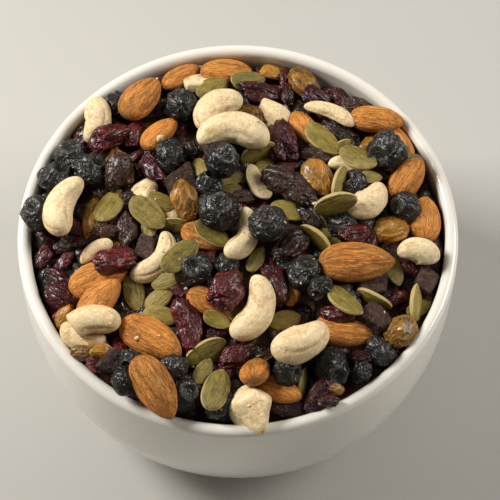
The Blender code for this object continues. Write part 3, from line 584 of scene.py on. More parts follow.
def cashew_skin(piece, x, v, draw):
    """A tube of changing girth bent along an arc, with the seam of its two halves along it.

    The seam is a narrow bell-shaped groove along the outer and the inner side of the bend, a little
    way up from it so that it shows. Slow noise dents the sides.
    """
    s = close_at_ends(x)
    _, half_width, half_thick = half_sizes(piece)
    t = BROKEN_FROM + (1 - BROKEN_FROM) * s if piece.kind == "broken" else s
    girth = cashew_girth(t)
    if piece.kind == "broken":
        girth = np.where(s <= 0, 0, girth)
    point, outwards, radius = arc_place(t, piece.kind, piece.length, piece.width)
    path = stacked(t * 2, np.cos(v), np.sin(v))
    upper = 0.75 * np.sign(piece.rotation[2][2])
    wander = 0.12 * waves(path, draw, (2.5, 0.1, 0.1), 4) + draw.uniform(-0.15, 0.25) * upper
    seam = sum(
        bell(np.arctan2(np.sin(v - side + wander), np.cos(v - side + wander)), 0, width)
        for side, width in ((upper, 0.08), (math.pi - 0.6 * upper, 0.15))
    )
    seam *= np.clip(4 * girth - 1.2, 0, 1) * (0.55 + 0.45 * waves(path, draw, (3.0, 0.5, 0.5), 4))
    dents = waves(path, draw, (2.2, 1.5, 1.5), 6)
    small = waves(path, draw, (6.5, 4.5, 4.5), 8)
    fine = waves(path, draw, (15.0, 9.0, 9.0), 8)
    swell = girth * (1 + 0.06 * dents + 0.026 * small + 0.008 * fine - 0.10 * seam)
    rise = np.sin(v)
    if piece.kind == "half":
        rise = np.maximum(rise, -0.1)
    across = np.maximum(half_width * swell * np.cos(v), -INNER_REACH * radius)
    points = point + outwards * across[..., None]
    points[..., 2] += half_thick * swell * rise
    return points, 0.5 + 0.25 * small + 0.15 * dents - 0.7 * seam, t


def bit_skin(piece, x, v, draw):
    """A broken corner of a nut: a lump cut by ten planes at random, with worn edges.

    The way out is the soft minimum of the ways to the planes and to a box.
    """
    direction = directions(x, v)
    planes = draw.normal(size=(10, 3))
    planes /= np.linalg.norm(planes, axis=1, keepdims=True)
    near = np.clip(direction @ planes.T, 0, None) / draw.uniform(0.80, 1.02, 10)
    out = ((near**9).sum(-1) + 0.3 * (np.abs(direction) ** 9).sum(-1)) ** (-1 / 9)
    rough = folds(direction, draw, 3.5, 1.0)
    grain = waves(direction, draw, 13.0)
    swell = out * lumps(direction, piece.seed, 0.5 * SHRIVELLED["bit"])
    swell = swell + 0.03 * (rough - 0.5) + 0.010 * grain
    return direction * swell[..., None] * half_sizes(piece) * 1.04, 0.2 + 0.6 * rough, x


def seed_skin(piece, x, v, draw):
    """A flat teardrop with a bead round its edge and fine lines along it, slightly cupped."""
    s = close_at_ends(x)
    _, half_width, half_thick = half_sizes(piece)
    across = teardrop(s, *OUTLINE["pepita"])
    side = np.abs(np.cos(v))
    path = stacked(s, np.cos(v), np.sin(v))
    lines = folds(path, draw, (3.0, 15.0, 2.0), 1.0)
    bead = bell(side, 0.90, 0.06) - 0.6 * bell(side, 0.74, 0.10)
    height = np.abs(np.sin(v)) ** 0.75 * across**0.7
    height = height * (1 + 0.07 * waves(path, draw, (3.5, 2.5, 2.0))) + 0.11 * bead * across
    along = (s - 0.5) * piece.length
    cup = draw.uniform(-0.6, 0.9) * (along / piece.length * 2) ** 2 * half_thick
    twist = draw.uniform(-0.5, 0.5) * (s - 0.5) * np.cos(v) * half_thick
    edge_waves = 1 + 0.025 * waves(path, draw, (6.0, 0.6, 0.6), 5)
    points = stacked(
        along,
        half_width * across * edge_waves * np.cos(v),
        half_thick * (height + 0.05 * (lines - 0.6)) * np.sign(np.sin(v)) + cup + twist,
    )
    edge = np.clip((side - 0.87) / 0.07, 0, 1) + bell(s, 1, 0.05) + 0.8 * bell(s, 0, 0.02)
    return points, lines, np.clip(edge, 0, 1)


def dark_berry_skin(piece, x, v, draw):
    """A shrivelled ball with a crown on top: a ring with five lobes round a crumpled pit.

    Its skin is drawn into winding folds, which are left out of the crown.
    """
    polar = math.pi * (1 - x) ** 1.15
    direction = stacked(np.sin(polar) * np.cos(v), np.sin(polar) * np.sin(v), np.cos(polar))
    out = lumps(direction, piece.seed, 1.1 * SHRIVELLED["blueberry"])
    bent = direction + 0.10 * waves(direction, draw, 3.0)[..., None]
    broad = folds(bent, draw, 3.0, 1.5)
    fine = folds(bent, draw, 7.5, 1.3)
    size = draw.uniform(0.40, 0.50)
    lobes = 1 + 0.25 * np.cos(5 * v + draw.uniform(0, 6)) + 0.25 * waves(direction, draw, 6.0)
    ring = bell(polar, size, 0.085) * lobes
    pit = bell(polar, 0, size * 0.7)
    away = 1 - bell(polar, 0, size * 1.3)
    swell = out + 0.17 * ring - 0.26 * pit + away * (0.10 * broad + 0.05 * fine - 0.07)
    swell += 0.04 * pit * fine
    relief = np.clip(0.5 * broad + 0.6 * fine, 0, 1) * away + 0.9 * ring - 0.4 * pit
    return direction * swell[..., None] * half_sizes(piece), relief, np.clip(ring, 0, 1)


def shrivelled_skin(piece, x, v, draw):
    """A shrunken fruit: broad lumps, winding folds along its length, and finer ones across them."""
    along, around, depth, fine_depth = FOLDS[piece.kind]
    direction = directions(x, v)
    out = lumps(direction, piece.seed, SHRIVELLED[piece.kind])
    bent = direction + 0.12 * waves(direction, draw, 2.6)[..., None]
    broad = folds(bent, draw, (along, around, around), 1.2)
    fine = folds(bent, draw, (2.4 * along, 2.3 * around, 2.3 * around), 1.2)
    swell = out + depth * (broad - 0.6) + fine_depth * (fine - 0.5)
    relief = np.clip(0.55 * broad + 0.55 * fine, 0, 1)
    return direction * swell[..., None] * half_sizes(piece), relief, np.clip(out - 0.5, 0, 1)


def chunk_skin(piece, x, v, draw):
    """A piece broken off a bar: a box with worn edges, skewed, with rough broken sides."""
    direction = directions(x, v)
    boxy = direction / (np.abs(direction) ** 7).sum(-1, keepdims=True) ** (1 / 7)
    rough = folds(direction, draw, (7.0, 3.5, 3.5), 1.0)
    swell = 1 + 0.06 * (rough - 0.5) + 0.05 * waves(direction, draw, 2.0, 5)
    points = boxy * swell[..., None] * half_sizes(piece) * 0.84
    points[..., 1] *= 1 + draw.uniform(-0.3, 0.3) * boxy[..., 0]
    points[..., 2] *= 1 + draw.uniform(-0.3, 0.3) * boxy[..., 0]
    points[..., 0] += draw.uniform(-0.35, 0.35) * points[..., 1]
    return points, rough, np.clip(1 - np.abs(boxy[..., 2]) ** 6, 0, 1)


# How often folds come along and round the fruit, and the depth of the broad and the fine ones
FOLDS = {
    "cranberry": (1.5, 4.4, 0.13, 0.07),
    "raisin": (1.8, 4.6, 0.14, 0.10),
    "sultana": (1.6, 4.0, 0.09, 0.05),
}

SKINS = {
    "almond": almond_skin,
    **dict.fromkeys(BEND, cashew_skin),
    **dict.fromkeys(("bit", "crumb"), bit_skin),
    "blueberry": dark_berry_skin,
    **dict.fromkeys(FOLDS, shrivelled_skin),
    "pepita": seed_skin,
    "chunk": chunk_skin,
}
# How many rings go along a piece and how many sides round it, on one that shows and on a filler
GRIDS = {
    "almond": (48, 64),
    "cashew": (72, 48),
    "half": (60, 36),
    "broken": (60, 44),
    "bit": (36, 40),
    "blueberry": (42, 52),
    "cranberry": (44, 46),
    "raisin": (44, 48),
    "sultana": (46, 48),
    "pepita": (30, 34),
    "chunk": (40, 44),
    "crumb": (8, 10),
}
FILLER_GRIDS = {
    "blueberry": (20, 26),
    "cranberry": (22, 24),
    "raisin": (22, 24),
    "sultana": (22, 24),
    "pepita": (18, 22),
}
UPPER_SHARE = 0.35  # how much closer together the points lie on a piece's upper side


def piece_arrays(piece, rings, sides, skin):
    """A piece's points in place, its faces, and what its material reads at each point.

    The points round it are drawn towards the side that faces up, by taking a share of the sine of
    the angle from there off that angle.
    """
    up = piece.rotation[2]
    facing = 0.0 if skin is dark_berry_skin else math.atan2(up[2], up[1])
    x = np.arange(rings + 2) / (rings + 1)
    away = 2 * np.pi * ((np.arange(sides) + 0.25) / sides - 0.5)
    if skin is not dark_berry_skin:
        away = away - UPPER_SHARE * np.sin(away)
    x, v = np.meshgrid(x, facing + away, indexing="ij")
    draw = np.random.default_rng(piece.seed + 50)
    points, relief, mark = skin(piece, x, v, draw)
    relief, mark = np.broadcast_to(relief, x.shape), np.broadcast_to(mark, x.shape)

    def with_poles(values):
        flat = values[1:-1].reshape((-1,) + values.shape[2:])
        return np.concatenate([flat, values[:1].mean(axis=1), values[-1:].mean(axis=1)])

    own = with_poles(points)
    placed = own @ piece.rotation.T + piece.place
    ring, side = np.meshgrid(np.arange(rings - 1), np.arange(sides), indexing="ij")
    beside = (side + 1) % sides
    a, b = ring * sides, (ring + 1) * sides
    quads = stacked(a + side, a + beside, b + beside, b + side).reshape(-1, 4)
    j, k = side[0], beside[0]
    first, last = rings * sides, rings * sides + 1
    end = (rings - 1) * sides
    caps = [stacked(first, k, j), stacked(last, end + j, end + k)]
    marks = {
        "relief": with_poles(relief),
        "mark": with_poles(mark),
        "tone": np.full(len(own), draw.uniform(0, 1)),
        "own": own * 100 + draw.uniform(-20, 20, 3),
    }
    return placed, quads, np.concatenate(caps), marks


def joined(pieces, fillers):
    """The arrays of several pieces put one after another."""
    found = []
    for group, grids in ((pieces, GRIDS), (fillers, FILLER_GRIDS)):
        found += [piece_arrays(piece, *grids[piece.kind], SKINS[piece.kind]) for piece in group]
    points, quads, caps, marks = zip(*found)
    starts = np.cumsum([0] + [len(part) for part in points[:-1]])
    quads = [part + start for part, start in zip(quads, starts)]
    caps = [part + start for part, start in zip(caps, starts)]
    marks = {name: np.concatenate([part[name] for part in marks]) for name in marks[0]}
    return np.concatenate(points), np.concatenate(quads), np.concatenate(caps), marks


def new_piece(name, points, quads, caps, marks, shade, slot):
    """An object at the origin from arrays of points, four-sided and three-sided faces and marks."""
    mesh = bpy.data.meshes.new(name)
    mesh.vertices.add(len(points))
    mesh.vertices.foreach_set("co", np.asarray(points, np.float32).ravel())
    corners = np.concatenate([quads.ravel(), caps.ravel()]).astype(np.int32)
    starts = np.concatenate(
        [np.arange(len(quads)) * 4, len(quads) * 4 + np.arange(len(caps)) * 3]
    ).astype(np.int32)
    mesh.loops.add(len(corners))
    mesh.loops.foreach_set("vertex_index", corners)
    mesh.polygons.add(len(starts))
    mesh.polygons.foreach_set("loop_start", starts)
    mesh.update(calc_edges=True)
    for mark, values in marks.items():
        vector = values.ndim > 1
        layer = mesh.attributes.new(mark, "FLOAT_VECTOR" if vector else "FLOAT", "POINT")
        field = "vector" if vector else "value"
        layer.data.foreach_set(field, np.asarray(values, np.float32).ravel())
    mesh.shade_smooth()
    mesh.materials.append(shade)
    piece = bpy.data.objects.new(name, mesh)
    bpy.context.scene.collection.objects.link(piece)
    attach(piece, "root")
    return piece


def bezier(a, b, c, d, count):
    """Points along a cubic curve from a to d, without a."""
    t = np.linspace(0, 1, count + 1)[1:, None]
    a, b, c, d = (np.array(p, float) for p in (a, b, c, d))
    return a * (1 - t) ** 3 + 3 * b * t * (1 - t) ** 2 + 3 * c * t**2 * (1 - t) + d * t**3


def arc(middle, radius, start, end, count):
    """Points along an arc in the profile's plane, angles in degrees from outwards to up."""
    angle = np.radians(np.linspace(start, end, count))
    return stacked(middle[0] + radius * np.cos(angle), middle[1] + radius * np.sin(angle))


def inside_profile(grown=0.0):
    """The bowl's inner surface, from its middle up to the lip, moved in by grown.

    Two cubic curves: the floor out to the lower wall, and the wall up to the lip.
    """
    middle = (0, FLOOR_THICKNESS + grown)
    wall = RIM_RADIUS - WALL - grown
    floor = bezier(
        middle,
        (FOOT_OUTER - 4 * MM, middle[1]),
        (wall - 9 * MM, 9 * MM + grown),
        (wall - 3.5 * MM, RIM_HEIGHT - 44 * MM),
        20,
    )
    side = bezier(
        floor[-1],
        (wall - 0.4 * MM, RIM_HEIGHT - 34 * MM),
        (wall, RIM_HEIGHT - 20 * MM),
        (wall, RIM_HEIGHT - LIP_RADIUS - MM),
        14,
    )
    return np.concatenate([[middle], floor, side])


def bowl_profile():
    """The bowl's section as radius and height, down its outside, under the foot and up inside.

    The outer wall and the belly are cubic curves fitted to the photograph's outline, and the lip
    and the foot ring's edges are arcs.
    """
    lip = (RIM_RADIUS - LIP_RADIUS, RIM_HEIGHT - LIP_RADIUS)
    round_lip = arc(lip, LIP_RADIUS, 90, 0, LIP_POINTS)
    side = bezier(
        round_lip[-1],
        (RIM_RADIUS + 0.9 * MM, RIM_HEIGHT - 28 * MM),
        (RIM_RADIUS - 1.0 * MM, RIM_HEIGHT - 44 * MM),
        (RIM_RADIUS - 8.5 * MM, RIM_HEIGHT - 55 * MM),
        26,
    )
    belly = bezier(
        side[-1],
        (RIM_RADIUS - 13.5 * MM, RIM_HEIGHT - 62.5 * MM),
        (FOOT_OUTER + 7 * MM, 3.4 * MM),
        (FOOT_OUTER, 2.6 * MM),
        14,
    )
    edge = arc((FOOT_OUTER - 0.9 * MM, 0.7 * MM), 0.7 * MM, 0, -90, FOOT_POINTS)
    recess = arc((FOOT_INNER + 0.6 * MM, 0.6 * MM), 0.6 * MM, 270, 180, FOOT_POINTS)
    under = [(FOOT_INNER - 0.6 * MM, FOOT_RECESS), (0.0, FOOT_RECESS)]
    over = arc(lip, LIP_RADIUS, 180, 98, LIP_POINTS)
    return np.concatenate([round_lip, side, belly, edge, recess, under, inside_profile(), over])


def turned_arrays(profile, sides):
    """A closed section swept round the Z axis: points, four-sided faces and fans at the axis.

    The section starts and ends on the lip and meets the axis twice, under the foot and inside.
    """
    angle = 2 * np.pi * np.arange(sides) / sides
    on_axis = profile[:, 0] < 1e-9
    starts = np.concatenate([[0], np.cumsum(np.where(on_axis, 1, sides))])
    around = stacked(np.cos(angle), np.sin(angle))
    points = [
        np.array([[0, 0, z]]) if axis else stacked(*(r * around).T, z)
        for (r, z), axis in zip(profile, on_axis)
    ]
    j, k = np.arange(sides), (np.arange(sides) + 1) % sides
    quads, caps = [], []
    for i in range(len(profile)):
        following = (i + 1) % len(profile)
        a, b = starts[i], starts[following]
        if on_axis[i] and on_axis[following]:
            continue
        if on_axis[i]:
            caps.append(stacked(a, b + j, b + k))
        elif on_axis[following]:
            caps.append(stacked(a + j, b, a + k))
        else:
            quads.append(stacked(a + j, b + j, b + k, a + k))
    return np.concatenate(points), np.concatenate(quads), np.concatenate(caps)


# Shading


def both_ways(operation):
    """The two methods that add this Math node, for a signal on the left and on the right."""

    def forward(self, other):
        return self.maths(operation, self, other)

    def reflected(self, other):
        return self.maths(operation, other, self)

    return forward, reflected


class Signal:
    """A shader socket on which Python's own arithmetic adds Math nodes."""

    __add__, __radd__ = both_ways("ADD")
    __sub__, __rsub__ = both_ways("SUBTRACT")
    __mul__, __rmul__ = both_ways("MULTIPLY")

    def __init__(self, shader, socket):
        self.shader = shader
        self.socket = socket

    def maths(self, operation, *inputs):
        return self.shader.node("ShaderNodeMath", {"operation": operation}, inputs)

    def size(self):
        return self.maths("ABSOLUTE", self)

    def rising(self, low, high):
        """0 up to low, 1 from high, and a smooth step between."""
        settings = {"interpolation_type": "SMOOTHSTEP"}
        inputs = {"Value": self, "From Min": low, "From Max": high}
        return self.shader.node("ShaderNodeMapRange", settings, inputs)


def socket_title(name):
    """A socket's name from its name as an argument, with IOR as Blender writes it."""
    return " ".join("IOR" if word == "ior" else word.title() for word in name.split("_"))


class Shader:
    """A material and short ways to add nodes to it."""

    def __init__(self, name, **finish):
        self.material = bpy.data.materials.new(name)
        self.material.use_nodes = True
        self.nodes = self.material.node_tree.nodes
        self.links = self.material.node_tree.links
        self.surface = self.nodes["Principled BSDF"]
        for socket, value in finish.items():
            self.put(self.surface.inputs[socket_title(socket)], value)

    def node(self, kind, settings=None, inputs=(), output=0):
        """A node of this type, with its settings made first and then its sockets filled."""
        made = self.nodes.new(kind)
        for name, value in (settings or {}).items():
            if name == "stops":
                ramp = made.color_ramp
                while len(ramp.elements) < len(value):
                    ramp.elements.new(0.5)
                for element, (place, colour) in zip(ramp.elements, value):
                    element.position = place
                    element.color = (*colour, 1)
            else:
                setattr(made, name, value)
        pairs = inputs.items() if isinstance(inputs, dict) else enumerate(inputs)
        for key, value in pairs:
            self.put(made.inputs[key], value)
        return Signal(self, made.outputs[output])

    def put(self, socket, value):
        if isinstance(value, Signal):
            self.links.new(value.socket, socket)
        elif socket.type == "RGBA":
            socket.default_value = (*value, 1)[:4]
        else:
            socket.default_value = value

    def feed(self, **inputs):
        """Links values into the Principled shader's own sockets."""
        for name, value in inputs.items():
            self.put(self.surface.inputs[socket_title(name)], value)

    def mark(self, name):
        """A number stored on the piece's points."""
        return self.node("ShaderNodeAttribute", {"attribute_name": name}, output="Fac")

    def place(self):
        """The place in a piece's own frame, in centimetres, and moved by its own random step."""
        return self.node("ShaderNodeAttribute", {"attribute_name": "own"}, output="Vector")

    def object_place(self):
        return self.node("ShaderNodeTexCoord", output="Object")

    def stretched(self, place, scale):
        settings = {"vector_type": "POINT"}
        return self.node("ShaderNodeMapping", settings, {"Vector": place, "Scale": scale})

    def noise(self, place, scale, detail=3.0, roughness=0.55, distortion=0.0):
        names = ("Vector", "Scale", "Detail", "Roughness", "Distortion")
        values = (place, scale, detail, roughness, distortion)
        return self.node("ShaderNodeTexNoise", None, dict(zip(names, values)))

    def crests(self, place, scale, width=0.12, detail=2.0):
        """Winding crests, 1 along the line where a noise is at its middle and 0 away from it."""
        return 1 - (self.noise(place, scale, detail, 0.5, 0.6) - 0.5).size().rising(0, width)

    def cells(self, place, scale):
        """The way to the nearest of many points scattered at random."""
        inputs = {"Vector": place, "Scale": scale}
        return self.node("ShaderNodeTexVoronoi", {"feature": "F1"}, inputs, "Distance")

    def ramp(self, value, stops):
        return self.node("ShaderNodeValToRGB", {"stops": stops}, [value])

    def mix(self, share, first, second):
        settings = {"data_type": "RGBA", "blend_type": "MIX"}
        inputs = {"Factor": share, 6: first, 7: second}
        return self.node("ShaderNodeMix", settings, inputs, 2)

    def layered(self, colour, *layers):
        """A colour with others over it, each given as its share and its colour."""
        for share, over in layers:
            colour = self.mix(share, colour, over)
        return colour

    def finished(self, colour, roughness, height, distance, strength=1.0):
        """The material, with its colour, its roughness and a bump of this height and distance."""
        inputs = {"Strength": strength, "Distance": distance, "Height": height}
        normal = self.node("ShaderNodeBump", None, inputs, "Normal")
        self.feed(base_color=colour, roughness=roughness, normal=normal)
        return self.material


def linear(red, green, blue):
    """A display colour from 0 to 255 as linear light."""
    shares = np.array([red, green, blue]) / 255
    light = np.where(shares <= 0.04045, shares / 12.92, ((shares + 0.055) / 1.055) ** 2.4)
    return tuple(float(x) for x in light)


def times(colour, factor):
    return tuple(min(1.0, channel * factor) for channel in colour)


def stops_of(colour, *stops):
    """A ramp's stops, each given as its place and a colour or a factor on this colour."""
    return [(at, over if isinstance(over, tuple) else times(colour, over)) for at, over in stops]


def glaze_material(settings, name):
    """Warm white glaze: faintly uneven in colour and gloss, with a few specks and a bare foot."""
    shade = Shader(name, ior=1.5, coat_weight=0.25, coat_roughness=0.06)
    place = shade.object_place()
    cloud = shade.noise(place, 28.0, 3.0)
    speck = 1 - shade.cells(place, 420.0).rising(0.02, 0.055)
    rare = shade.noise(place, 150.0, 1.0).rising(0.66, 0.72)
    height = shade.node("ShaderNodeSeparateXYZ", None, [place], "Z")
    bare = 1 - height.rising(0.3 * MM, 0.9 * MM)
    colour = shade.layered(
        shade.ramp(cloud, [(0.3, times(settings.glaze, 0.96)), (0.7, settings.glaze)]),
        (speck * rare * 0.35, linear(150, 135, 115)),
        (bare, linear(196, 180, 156)),
    )
    roughness = 0.15 + 0.06 * cloud + 0.6 * bare
    ripple = shade.noise(place, 90.0, 2.0) + 0.4 * shade.noise(place, 700.0, 2.0)
    return shade.finished(colour, roughness, ripple, 0.12 * MM, 0.5)


def almond_material(settings, name):
    """Ribbed orange-brown skin: thin dark grooves, pale ribs, dusty grain and darker ends."""
    colour = settings.almond
    shade = Shader(name, specular_ior_level=0.3)
    relief, along, tone = shade.mark("relief"), shade.mark("mark"), shade.mark("tone")
    place = shade.place()
    fibre = shade.noise(shade.stretched(place, (1.4, 8.0, 8.0)), 1.6, 6.0, 0.7, 0.3)
    blotch = shade.noise(place, 2.0, 3.0)
    level = relief * 0.30 + fibre * 0.42 + blotch * 0.45 + tone * 0.16 - 0.19
    long = shade.stretched(place, (0.14, 1.0, 1.0))
    groove = shade.crests(long, 7.0, 0.035)
    vein = shade.crests(long, 12.0, 0.05)
    rib = shade.crests(long, 9.0, 0.06)
    ends = (1 - along.rising(0.0, 0.06)) * 0.5 + along.rising(0.93, 1.0) * 0.65
    orange, pale = linear(232, 156, 74), linear(245, 194, 116)
    stops = stops_of(colour, (0.14, 0.25), (0.34, 0.62), (0.50, 1), (0.72, orange), (0.95, pale))
    skin = shade.layered(
        shade.ramp(level, stops),
        (rib * 0.38, linear(242, 182, 102)),
        (groove * 0.48, times(colour, 0.24)),
        (vein * 0.26, times(colour, 0.35)),
        (ends, times(colour, 0.28)),
    )
    roughness = 0.66 - 0.16 * relief
    height = fibre + 0.5 * rib - 0.7 * groove - 0.35 * vein
    return shade.finished(skin, roughness, height, 0.3 * MM, 0.9)


def cashew_material(settings, name):
    """Cream kernel, tan in the seam and in patches, with paler flakes and freckles."""
    colour = settings.cashew
    shade = Shader(
        name,
        specular_ior_level=0.35,
        subsurface_weight=0.10,
        subsurface_radius=(0.004, 0.002, 0.001),
    )
    relief, tone = shade.mark("relief"), shade.mark("tone")
    place = shade.place()
    patch = shade.noise(place, 2.4, 5.0, 0.6, 0.5)
    mottle = shade.noise(place, 11.0, 4.0, 0.65, 0.6)
    freckle = shade.noise(place, 16.0, 2.0).rising(0.66, 0.74)
    vein = shade.crests(place, 3.0, 0.03, 3.0) * patch.rising(0.45, 0.60)
    warm = (1 - relief.rising(-0.1, 0.40)) * 0.9 + patch.rising(0.50, 0.76) * 0.5 + tone * 0.30
    skin = shade.layered(
        colour,
        (warm, linear(204, 164, 106)),
        (mottle.rising(0.50, 0.62) * 0.60, linear(252, 238, 206)),
        ((1 - mottle.rising(0.36, 0.47)) * 0.36, linear(208, 172, 116)),
        (freckle * 0.22, linear(176, 128, 76)),
        (vein * 0.45, linear(186, 140, 84)),
    )
    roughness = 0.34 + 0.20 * mottle
    return shade.finished(skin, roughness, patch + 0.5 * mottle - 0.3 * vein, 0.6 * MM, 0.7)


def seed_material(settings, name):
    """Olive seed coat with dark mottling and fine lines, and a pale tan bead round the edge."""
    colour = settings.pumpkin_seed
    shade = Shader(name, specular_ior_level=0.35)
    relief, edge, tone = shade.mark("relief"), shade.mark("mark"), shade.mark("tone")
    place = shade.place()
    mottle = shade.noise(place, 5.0, 5.0, 0.65)
    fine = shade.noise(place, 17.0, 3.0, 0.6)
    lines = shade.noise(shade.stretched(place, (2.0, 13.0, 13.0)), 1.6, 4.0, 0.6)
    level = mottle * 0.58 + fine * 0.26 + lines * 0.60 + relief * 0.10 + tone * 0.26 - 0.40
    pale = linear(206, 194, 124)
    stops = stops_of(colour, (0.20, 0.25), (0.38, 0.65), (0.54, 1), (0.74, 1.45), (0.92, pale))
    skin = shade.ramp(level, stops)
    rim = (edge * (0.3 + 1.3 * mottle)).rising(0.35, 0.90)
    skin = shade.mix(rim * 0.75, skin, linear(204, 180, 120))
    roughness = 0.28 + 0.22 * mottle
    return shade.finished(skin, roughness, lines + 0.5 * mottle + 0.2 * fine, 0.5 * MM, 0.8)


def dark_berry_material(settings, name):
    """Near-black wrinkled skin with specks of dust, grey and dull where bloom lies on the ridges,
    partly a painted sheen.
    """
    colour = settings.dark_berry
    shade = Shader(name)
    relief, crown, tone = shade.mark("relief"), shade.mark("mark"), shade.mark("tone")
    place = shade.place()
    patch = shade.noise(place, 2.6, 4.0)
    crest = shade.crests(place, 2.3, 0.07, 1.0)
    small = shade.crests(place, 5.5, 0.10, 1.0)
    # bloom and painted sheen: grey in patches on the folds' ridges and on the crests of the bump
    bloom_and_sheen = relief.rising(0.3, 0.9) * patch.rising(0.50, 0.68) * 0.42 + crest * 0.10 + tone * 0.10
    dust = shade.noise(place, 24.0, 1.0).rising(0.74, 0.80)
    skin = shade.layered(
        colour,
        (bloom_and_sheen, linear(92, 88, 82)),
        # the crown's raised ring is painted paler: a painted highlight
        (crown * 0.45, linear(84, 78, 72)),
        (dust * 0.6, linear(190, 176, 152)),
    )
    swell = shade.noise(place, 3.0, 1.0, 0.5, 0.4)
    skin_folds = 0.8 * crest + 0.22 * small + 2.0 * swell
    roughness = 0.14 + 0.34 * patch + 0.25 * bloom_and_sheen
    return shade.finished(skin, roughness, skin_folds * (1 - 0.75 * crown), 0.45 * MM)


# Each fruit's brighter colour, roughness, coat, how much light passes through, and wrinkles' depth
FRUIT = {
    "cranberry": (linear(188, 36, 40), 0.34, 0.25, 0.1, 0.45 * MM),
    "raisin": (linear(122, 78, 52), 0.38, 0.2, 0.0, 0.45 * MM),
    "golden_raisin": (linear(200, 152, 66), 0.36, 0.2, 0.35, 0.22 * MM),
}


def fruit_material(settings, name):
    """Shrunken skin: darker in the hollows as painted shade, brighter on the folds as a painted
    highlight, with fine wrinkles.
    """
    colour = getattr(settings, name)
    bright, roughness, coat, glow, depth = FRUIT[name]
    shade = Shader(
        name,
        specular_ior_level=0.4,
        coat_weight=coat,
        coat_roughness=0.12,
        subsurface_weight=glow,
        subsurface_radius=(0.003, 0.0015, 0.0005),
    )
    relief, tone = shade.mark("relief"), shade.mark("tone")
    place = shade.place()
    patch = shade.noise(place, 2.4, 4.0, 0.6)
    long = shade.stretched(place, (0.45, 1.0, 1.0))
    crest = shade.crests(long, 3.6, 0.09, 1.0)
    small = shade.crests(place, 7.0, 0.11, 1.0)
    # relief, crest and small darken the hollows and brighten the ridges: painted shade and painted
    # highlight, over the fruit's own patchy tone
    level = relief * 0.34 + patch * 0.62 + tone * 0.46 + crest * 0.18 + small * 0.08 - 0.42
    stops = stops_of(colour, (0.06, 0.25), (0.38, 0.72), (0.62, 1), (0.98, bright))
    skin = shade.ramp(level, stops)
    sugar = shade.noise(place, 26.0, 1.0).rising(0.74, 0.80)
    skin = shade.mix(sugar * 0.5, skin, times(bright, 1.8))
    swell = shade.noise(long, 3.2, 1.0, 0.5, 0.4)
    roughness = roughness - 0.14 + 0.34 * patch
    return shade.finished(skin, roughness, 0.8 * crest + 0.25 * small + 1.6 * swell, depth)


def chocolate_material(settings, name):
    """Matt dark chocolate, paler along the ridges of its rough surface, with fine streaks and sugar
    specks.
    """
    colour = settings.chocolate
    shade = Shader(name, specular_ior_level=0.35)
    relief = shade.mark("relief")
    place = shade.place()
    patch = shade.noise(place, 4.0, 4.0)
    streak = shade.noise(shade.stretched(place, (2.0, 12.0, 12.0)), 2.0, 4.0, 0.7)
    crest = shade.crests(place, 7.0, 0.08)
    speck = 1 - shade.cells(place, 16.0).rising(0.08, 0.18)
    level = patch * 0.5 + streak * 0.6 + relief * 0.2 - 0.05
    stops = stops_of(colour, (0.35, 0.5), (0.6, 1), (0.85, linear(108, 74, 60)))
    skin = shade.ramp(level, stops)
    skin = shade.mix(speck * 0.4, skin, linear(140, 112, 96))
    return shade.finished(skin, 0.40 + 0.3 * patch, streak + 0.4 * crest, 0.5 * MM)


def core_material(settings, name):
    """What lies deep in the heap: dark fruit in shadow."""
    shade = Shader(name)
    place = shade.object_place()
    patch = shade.noise(place, 160.0, 4.0)
    skin = shade.ramp(patch, stops_of(settings.raisin, (0.3, 0.5), (0.7, 1.4)))
    return shade.finished(skin, 0.7, patch, 1.0 * MM, 0.8)


# What each piece is made of: the kinds in it, its material, and that material's name
PIECES = {
    "almonds": (("almond",), almond_material, "almond_skin"),
    "cashews": ((*BEND, "bit"), cashew_material, "cashew"),
    "pumpkin_seeds": (("pepita",), seed_material, "pumpkin_seed"),
    "dark_berries": (("blueberry",), dark_berry_material, "dark_berry"),
    "cranberries": (("cranberry",), fruit_material, "cranberry"),
    "raisins": (("raisin",), fruit_material, "raisin"),
    "golden_raisins": (("sultana",), fruit_material, "golden_raisin"),
    "chocolate_chunks": (("chunk",), chocolate_material, "chocolate"),
}


# Settings


def colour_property(name, description, *colour):
    """A colour for the panel, its default given as display values from 0 to 255."""
    return bpy.props.FloatVectorProperty(
        name=name, description=description, subtype="COLOR", min=0, max=1, default=linear(*colour)
    )


class BowlSettings(bpy.types.PropertyGroup):
    """The bowl's glaze and fineness."""

    glaze: colour_property("Glaze", "Colour of the bowl's glaze", 230, 226, 217)
    sides: bpy.props.IntProperty(
        name="Sides",
        description="How many faces go once round the bowl",
        min=24,
        max=512,
        default=192,
    )


class MixSettings(bpy.types.PropertyGroup):
    """The colours of the pieces."""

    almond: colour_property("Almond skin", "Middle colour of the almonds' skin", 216, 137, 57)
    cashew: colour_property("Cashew", "Colour of the cashew kernels", 234, 212, 168)
    pumpkin_seed: colour_property(
        "Pumpkin seed", "Colour of the pumpkin seeds' skin", 139, 122, 56
    )
    dark_berry: colour_property(
        "Dark berry", "Colour of the dried dark berries under their bloom", 20, 18, 17
    )
    cranberry: colour_property("Cranberry", "Colour of the dried cranberries", 80, 16, 18)
    raisin: colour_property("Raisin", "Colour of the brown raisins", 66, 38, 24)
    golden_raisin: colour_property("Golden raisin", "Colour of the golden raisins", 178, 124, 42)
    chocolate: colour_property("Chocolate", "Colour of the dark chocolate", 62, 38, 31)


class StageSettings(bpy.types.PropertyGroup):
    """The floor, the lights and the camera."""

    floor: colour_property("Floor", "Colour of the floor", 184, 182, 177)
    key_power: bpy.props.FloatProperty(
        name="Key light",
        description="Power of the large soft light at the back left",
        subtype="POWER",
        unit="POWER",
        min=0,
        default=9.6,
    )
    sky: bpy.props.FloatProperty(
        name="Surroundings",
        description="Brightness of the light from all sides",
        min=0,
        default=0.17,
    )
    camera_distance: bpy.props.FloatProperty(
        name="Camera distance",
        description="From the camera to the place it looks at",
        subtype="DISTANCE",
        unit="LENGTH",
        min=0.1,
        default=VIEW_DISTANCE,
    )


# Operators


